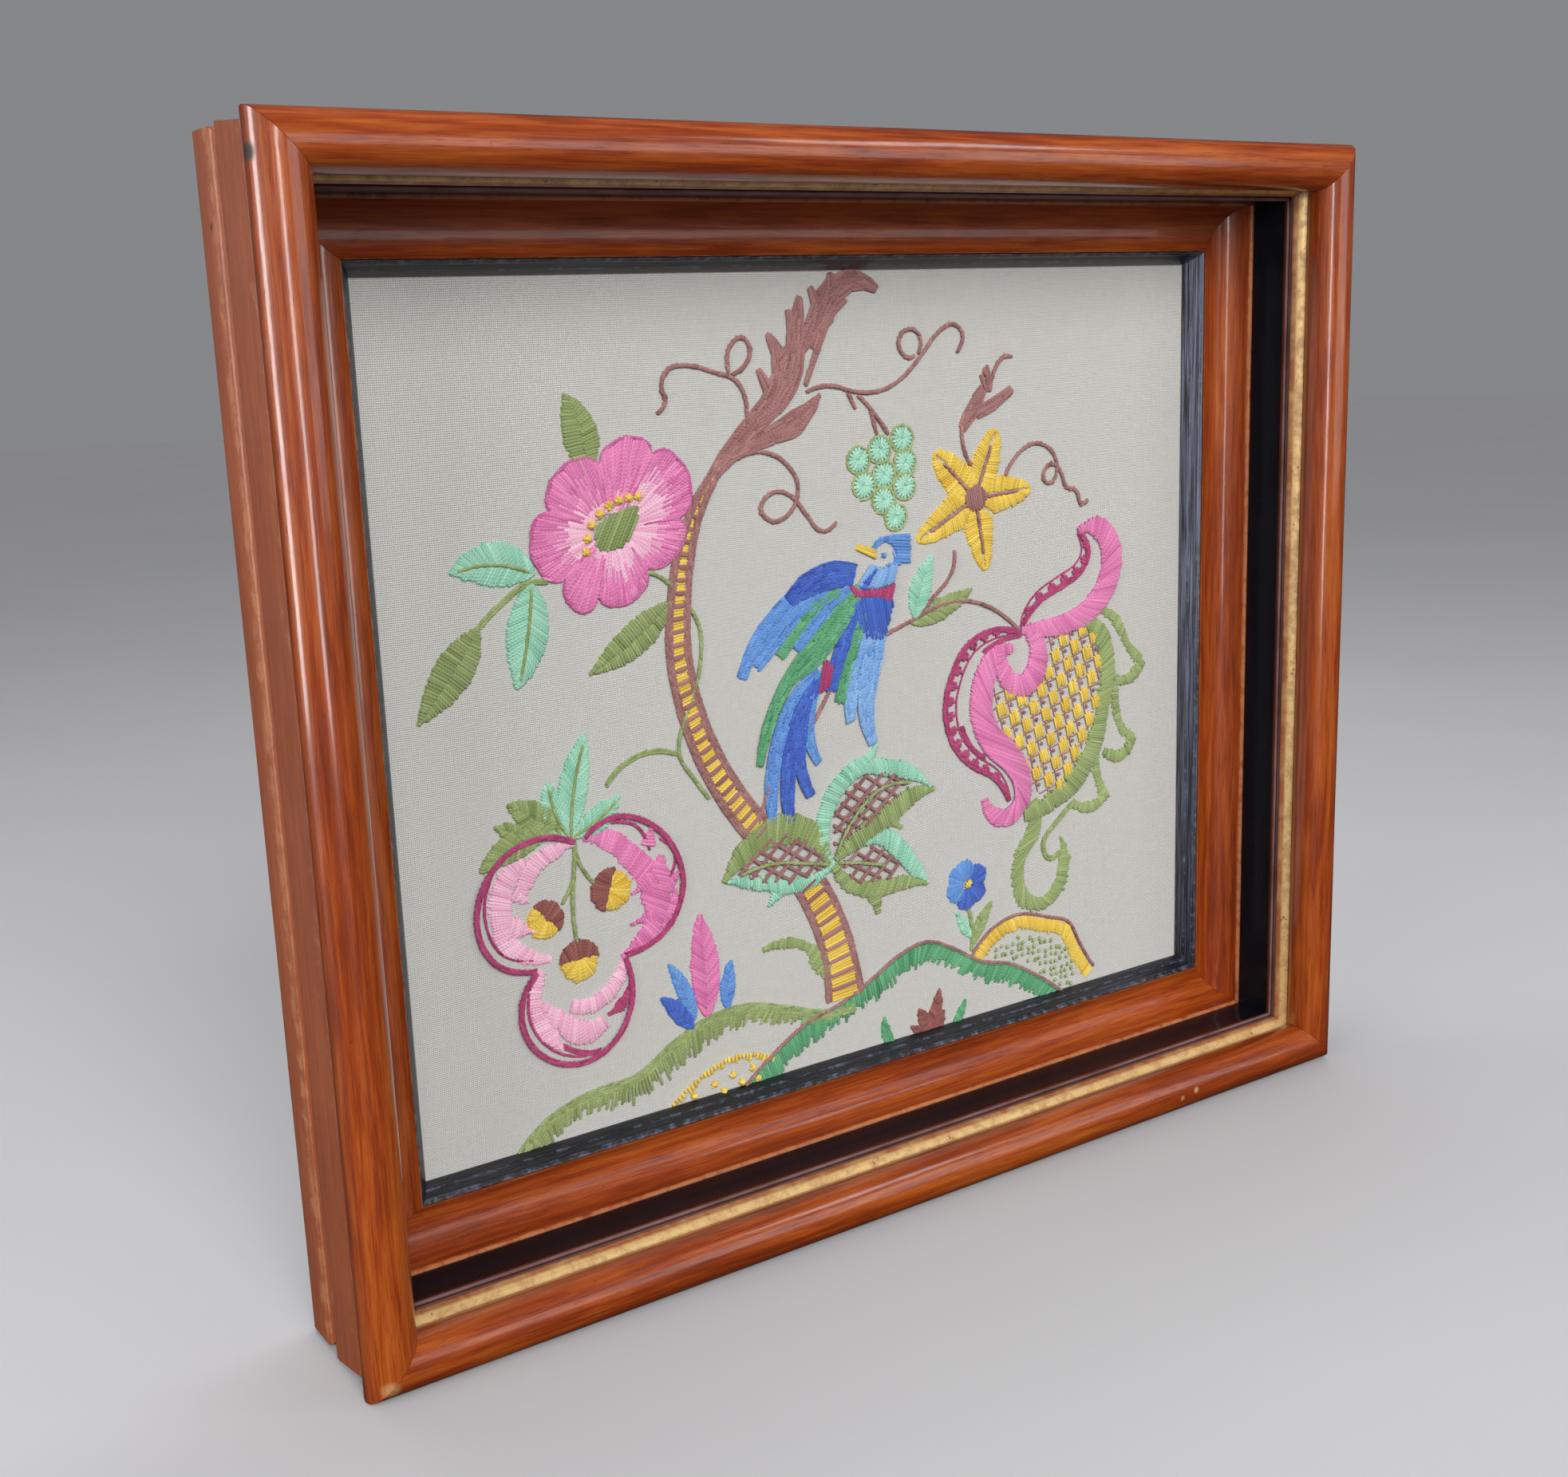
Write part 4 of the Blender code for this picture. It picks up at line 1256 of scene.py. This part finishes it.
def wool_material(name, dark, light):
    """Crewel wool in one dye: each stitch has its own shade, with ply twist and fuzz in its surface, and
    painted shade darkens the grooves of the twist.
    """
    material, tree, shader, place, along = new_material(name)
    twist = put(tree, TWIST, Along=along, Place=place)
    faded = noise(tree, place, 60.0, 2.0, 0.5)
    shade = maths(tree, "MULTIPLY_ADD", maths(tree, "SUBTRACT", faded, 0.5), 0.5, mesh_value(tree, "tone"))
    # Painted shade: the colour darkens where the twist's height is low, in the grooves between plies.
    shade = maths(tree, "MULTIPLY_ADD", maths(tree, "SUBTRACT", twist["Height"], 0.85), 0.22, shade,
                  clamp=True)
    finish(tree, shader, twist["Height"], 0.00012, Base_Color=blend_colours(tree, shade, dark, light),
           Roughness=0.92, Specular_IOR_Level=0.2, Sheen_Weight=0.25, Sheen_Roughness=0.5)
    return material


def card_material():
    """Brown strawboard backing: pressed fibres, scuffs and a tidemark or two."""
    material, tree, shader, place, _ = new_material("strawboard")
    fibre = noise(tree, stretched(tree, place, (900, 900, 260), (0.0, 0.5, 0.0)), 1.0, 4.0, 0.65)
    stain = spread(tree, noise(tree, place, 11.0, 4.0, 0.6), 0.4, 0.7)
    base = blend_colours(tree, fibre, colour(132, 104, 72), colour(170, 140, 102))
    base = glaze(tree, base, stain, 0.35, 112, 84, 58)
    base = glaze(tree, base, scatter(tree, place, 500.0, 0.5), 0.35, 88, 66, 46)
    finish(tree, shader, fibre, 0.0001, Base_Color=base, Roughness=0.88)
    return material


def stage_material():
    """Pale studio paper, which throws back less light than it shows."""
    material, tree, shader, place, _ = new_material("studio_paper")
    base = blend_colours(tree, noise(tree, place, 3.0), colour(196, 196, 198), colour(204, 204, 206))
    seen = node(tree, "LightPath").outputs["Is Camera Ray"]
    connect(tree, shader, {"Base Color": blend_colours(tree, seen, colour(34, 34, 36), base),
                           "Roughness": 0.85})
    return material


# ---------------------------------------------------------------- frame mouldings

EASING = 3

# Old knocks and rubbed places: centre and radius in metres, colour and strength.
MARKS = [
    ((-0.1990, -0.0215, 0.3360), 0.0032, colour(30, 18, 15), 0.95),
    ((-0.1993, 0.0168, 0.3209), 0.0016, colour(40, 26, 22), 0.85),
    ((-0.1993, 0.0072, 0.0214), 0.0042, colour(178, 150, 132), 0.55),
    ((0.1218, -0.0270, 0.0085), 0.0017, colour(214, 176, 140), 0.7),
    ((0.1147, -0.0270, 0.0073), 0.0015, colour(206, 166, 130), 0.7),
    ((-0.1945, -0.0260, 0.0053), 0.0034, colour(196, 150, 104), 0.6),
]


def arc(centre, radius, start, sweep, count):
    """Points of a circular arc in a section, as (inset, depth); angles in degrees."""
    angle = np.radians(start + sweep * np.linspace(0, 1, count + 1))
    return np.asarray(centre, float) + radius * compass(angle)


def eased(corners, radius):
    """A section with each sharp corner cut back and rounded: a quadratic curve from a point radius before
    the corner to one radius after it, drawn towards the corner itself."""
    points = np.asarray(corners, float)
    before, after = np.roll(points, 1, axis=0), np.roll(points, -1, axis=0)
    to_before, to_after = before - points, after - points
    back, on = np.hypot(*to_before.T), np.hypot(*to_after.T)
    bend = np.sum(to_before * to_after, 1) / (back * on)
    sharp = bend > -0.93
    reach = np.where(sharp, np.minimum(radius, np.minimum(back, on) * 0.45), 0.0)[:, None]
    first, last = points + to_before / back[:, None] * reach, points + to_after / on[:, None] * reach
    t = np.linspace(0, 1, EASING + 1)[None, :, None]
    rounded = first[:, None] * (1 - t)**2 + points[:, None] * 2 * t * (1 - t) + last[:, None] * t**2
    kept = [rounded[i] if sharp[i] else points[i:i + 1] for i in range(len(points))]
    return np.vstack(kept)


def edge_mark(section, reach=0.7):
    """How close each section point is to an outward arris: 1 on it, falling to 0 within reach
    millimetres."""
    before, after = np.roll(section, 1, axis=0), np.roll(section, -1, axis=0)
    one, two = section - before, after - section
    turn = np.degrees(np.arctan2(one[:, 0] * two[:, 1] - one[:, 1] * two[:, 0], np.sum(one * two, 1)))
    sharp = turn > 9
    if not sharp.any():
        return np.zeros(len(section))
    gap = section[:, None] - section[None, sharp]
    return np.clip(1 - np.hypot(gap[..., 0], gap[..., 1]).min(1) / reach, 0, 1)


# Each side's length, and (x, z) for a place along it and an inset u, as its rail is seen from the front.
SIDES = {
    "bottom": (WIDTH, lambda s, u: (s, u)),
    "top": (WIDTH, lambda s, u: (-s, HEIGHT - u)),
    "left": (HEIGHT, lambda s, u: (u - WIDTH / 2, HEIGHT / 2 - s)),
    "right": (HEIGHT, lambda s, u: (WIDTH / 2 - u, HEIGHT / 2 + s)),
}
MITRE_GAP = 0.09
PLANED = 0.045
STATIONS = 80
GRAIN_SHIFT = 0.73
ARRIS_ANGLE = math.radians(38)


def add_mouldings(kind, section, material, wander):
    """Four mitred lengths of one moulding. A station's place along its rail runs between the mitre
    planes, so that the section shears at both ends; hand planing lets inset and depth wander a little
    along the rail."""
    section = section[::-1]
    mark = edge_mark(section)
    run = np.concatenate([[0.0], np.cumsum(np.hypot(*np.diff(np.vstack([section, section[:1]]),
                                                             axis=0).T))])
    inset, depth = section[:, 0] * MM, section[:, 1] * MM
    count = len(section)
    for order, (side, (length, place)) in enumerate(SIDES.items()):
        share = np.linspace(-1, 1, STATIONS + 1)[:, None]
        half = length / 2 - inset - MITRE_GAP * MM * math.sqrt(2) / 2
        along = share * half
        seed = order * 1.7 + len(kind)
        drift = wander * MM * (np.sin(along * 31 + seed) + 0.6 * np.sin(along * 83 + 2 * seed + inset * 300))
        fade = 1 - share**8
        u = inset + 0.6 * drift * fade + np.zeros_like(along)
        d = depth + drift * np.cos(along * 17 + seed) * fade
        x, z = place(along, u)
        points = np.stack([x, FACE + d, z], -1).reshape(-1, 3)
        quads, at_row, at_step = ring_quads(STATIONS + 1, count)
        caps = np.stack([np.arange(count), (STATIONS + 1) * count - 1 - np.arange(count)])
        flat = along.reshape(STATIONS + 1, count)
        u_tube = flat[at_row, at_step % count] + order * GRAIN_SHIFT + len(kind) * 0.31
        tube_uv = np.stack([u_tube, run[at_step] * MM], -1).reshape(-1, 2)
        end_u = np.tile(inset * 0.2, (2, 1)) + order * GRAIN_SHIFT
        end_uv = np.stack([end_u, np.tile(depth, (2, 1))], -1).reshape(-1, 2)
        mesh = new_mesh(f"{kind}_{side}", points, [quads, caps], np.concatenate([tube_uv, end_uv]))
        mesh.set_sharp_from_angle(angle=ARRIS_ANGLE)
        for name, values in (("edge", mark), ("inset", section[:, 0]), ("depth", section[:, 1])):
            add_float(mesh, name, np.tile(values, STATIONS + 1))
        piece = add_piece(f"{kind}_{side}_moulding", mesh, material)
        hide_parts(f"{kind}_{side}")


def build_frame():
    """The five mitred mouldings from the outer edge to the cloth, each in its own finish."""
    polish = mahogany_material()
    rail = np.vstack([arc((8, 8), 8.0, 37.5, -255, 62),
                      eased([(2.9, 14.0), (2.9, 15.6), (2.4, 16.4), (1.1, 31.8), (1.1, 33.0), (1.7, 34.4),
                             (3.2, 36.2), (3.2, 38.5), (2.0, 39.4), (1.5, 40.8), (1.5, 52.5)], 0.35)[2:-2],
                      arc((5.0, 52.5), 3.5, 180, -90, 10),
                      [(14.4, 56.0)]])
    add_mouldings("rail", rail, polish, wander=PLANED)
    gilt = eased([(14.4, 12.75), (14.7, 17.2), (17.3, 17.2), (17.3, 16.3), (16.1, 14.2)], 0.3)
    add_mouldings("gilt", gilt, gilt_material(), wander=PLANED * 0.6)
    liner = np.vstack([[(14.7, 17.5), (14.7, 34.3)], eased([(14.7, 34.3), (18.4, 34.3), (18.4, 20.2)],
                                                           0.3)[4:8],
                       [(18.4, 27.0), (18.4, 20.2)], arc((18.1, 18.8), 0.7, 30, -195, 14),
                       [(17.1, 18.8), (16.7, 17.5)]])
    add_mouldings("liner", liner, satin_black_material(), wander=PLANED * 0.6)
    cove = np.vstack([[(14.7, 34.6), (14.7, 56.0), (31.0, 56.0), (31.0, 49.9), (34.2, 49.9), (34.5, 49.6)],
                      [(34.5, 43.2)], arc((27.9, 36.7), 8.66, 40, 140, 36),
                      [(19.2, 35.2), (18.9, 34.75), (18.5, 34.6)]])
    add_mouldings("cove", cove, polish, wander=PLANED)
    slip = eased([(34.8, 49.9), (39.0, 49.9), (39.0, 49.6), (38.6, 48.6), (37.6, 46.6), (36.1, 44.9),
                  (35.9, 44.1), (34.8, 42.9)], 0.22)
    add_mouldings("slip", slip, ebonised_material(), wander=PLANED * 0.6)
    board = bpy.data.objects["backing_board"]
    board.data.materials.clear()
    board.data.materials.append(card_material())


DYES = {
    "mint": (colour(118, 184, 152), colour(180, 228, 204)),
    "olive": (colour(114, 132, 72), colour(172, 188, 128)),
    "emerald": (colour(58, 130, 86), colour(118, 186, 138)),
    "pink": (colour(198, 92, 152), colour(246, 156, 200)),
    "pale_pink": (colour(226, 152, 186), colour(253, 212, 226)),
    "crimson": (colour(142, 40, 84), colour(200, 84, 134)),
    "mauve": (colour(128, 82, 80), colour(182, 134, 130)),
    "brown": (colour(112, 58, 54), colour(166, 104, 96)),
    "yellow": (colour(206, 162, 44), colour(250, 222, 104)),
    "royal_blue": (colour(44, 68, 158), colour(84, 122, 214)),
    "mid_blue": (colour(70, 118, 192), colour(122, 170, 228)),
    "light_blue": (colour(94, 144, 206), colour(152, 192, 234)),
}


def build_cloth():
    """The linen, and every wool worked on it."""
    for embroider in (embroider_rose, embroider_trunk, embroider_crest, embroider_star, embroider_bird,
                      embroider_fruit, embroider_leaf_cluster, embroider_trefoil, embroider_ground):
        embroider()
    linen = add_piece("linen_ground", cloth_mesh("linen_ground"), linen_material())
    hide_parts("linen_cloth")
    for wool, (dark, light) in DYES.items():
        rows = np.vstack(WOOLS[wool])
        name = f"wool_{wool}"
        add_piece(name, wool_mesh(name, rows), wool_material(name, dark, light))


# ---------------------------------------------------------------- studio

def add_panel(name, centre, target, size, power, lights=True, shines=True):
    """Soft rectangular light that faces a target and isn't seen itself; lights says if it brightens what it
    faces, and shines if polish mirrors it."""
    light = bpy.data.lights.new(name, "AREA")
    light.shape = "RECTANGLE"
    light.size, light.size_y = size
    light.energy = power
    lamp = bpy.data.objects.new(name, light)
    lamp.location = centre
    lamp.rotation_euler = (Vector(target) - Vector(centre)).to_track_quat("-Z", "Y").to_euler()
    lamp.visible_camera = False
    lamp.visible_diffuse = lights
    lamp.visible_glossy = shines
    bpy.context.scene.collection.objects.link(lamp)


FLOOR_RADIUS = 6.0
FLOOR_GAP = 0.0002
EYE = (-0.3482, -0.4699, 0.2892)
AIM = Vector((0.53792, 0.81407, -0.21896))
UPRIGHT = Vector((0.15164, 0.16206, 0.97506))
DAYLIGHT = Vector((0.20, 0.82, -0.45))


def build_studio():
    """Pale floor, soft lights and the camera."""
    disc = np.pad(FLOOR_RADIUS * compass(np.linspace(0, math.tau, 96, endpoint=False)), ((0, 0), (0, 1)))
    floor = bpy.data.objects.new("floor", new_mesh("floor", disc, [np.arange(96)[None]]))
    floor.location.z = CAD_LOW.z - FLOOR_GAP
    bpy.context.scene.collection.objects.link(floor)
    floor.data.materials.append(stage_material())

    world = bpy.data.worlds.new("studio")
    bpy.context.scene.world = world
    world.use_nodes = True
    tree = world.node_tree
    seen = node(tree, "LightPath").outputs["Is Camera Ray"]
    tint = blend_colours(tree, seen, (0.06, 0.062, 0.074, 1), (0.238, 0.241, 0.252, 1))
    tree.links.new(tint, tree.nodes["Background"].inputs["Color"])

    daylight = bpy.data.lights.new("soft_daylight", "SUN")
    daylight.energy = 2.5
    daylight.angle = math.radians(36)
    lamp = bpy.data.objects.new("soft_daylight", daylight)
    lamp.rotation_euler = DAYLIGHT.to_track_quat("-Z", "Y").to_euler()
    lamp.visible_glossy = False
    bpy.context.scene.collection.objects.link(lamp)
    middle = (0.0, -0.02, 0.18)
    add_panel("strip_left", (-1.02, 0.22, 0.44), (-0.2, 0.0, 0.36), (0.26, 0.86), 7.5, lights=False)
    add_panel("strip_front", (-0.45, -0.86, 0.44), (-0.2, 0.0, 0.36), (0.15, 0.86), 4.6, lights=False)
    add_panel("soft_left", (-1.05, -0.34, 0.46), middle, (0.8, 0.75), 6.5, shines=False)
    add_panel("front_right", (0.58, -1.02, 0.42), middle, (0.9, 0.6), 3.0)
    add_panel("high_right", (0.66, -0.62, 0.96), middle, (0.3, 0.2), 1.1)
    add_panel("overhead", (0.1, 0.25, 1.2), middle, (1.0, 0.5), 6.5, shines=False)

    camera = bpy.data.objects.new("camera", bpy.data.cameras.new("camera"))
    camera.data.lens = 41.6
    camera.data.sensor_width = 36.0
    camera.location = EYE
    right = AIM.cross(UPRIGHT).normalized()
    upright = right.cross(AIM).normalized()
    camera.rotation_euler = Matrix((right, upright, -AIM.normalized())).transposed().to_euler()
    camera.data.clip_start = 0.01
    bpy.context.scene.collection.objects.link(camera)
    bpy.context.scene.camera = camera


build_frame()
build_cloth()
build_studio()
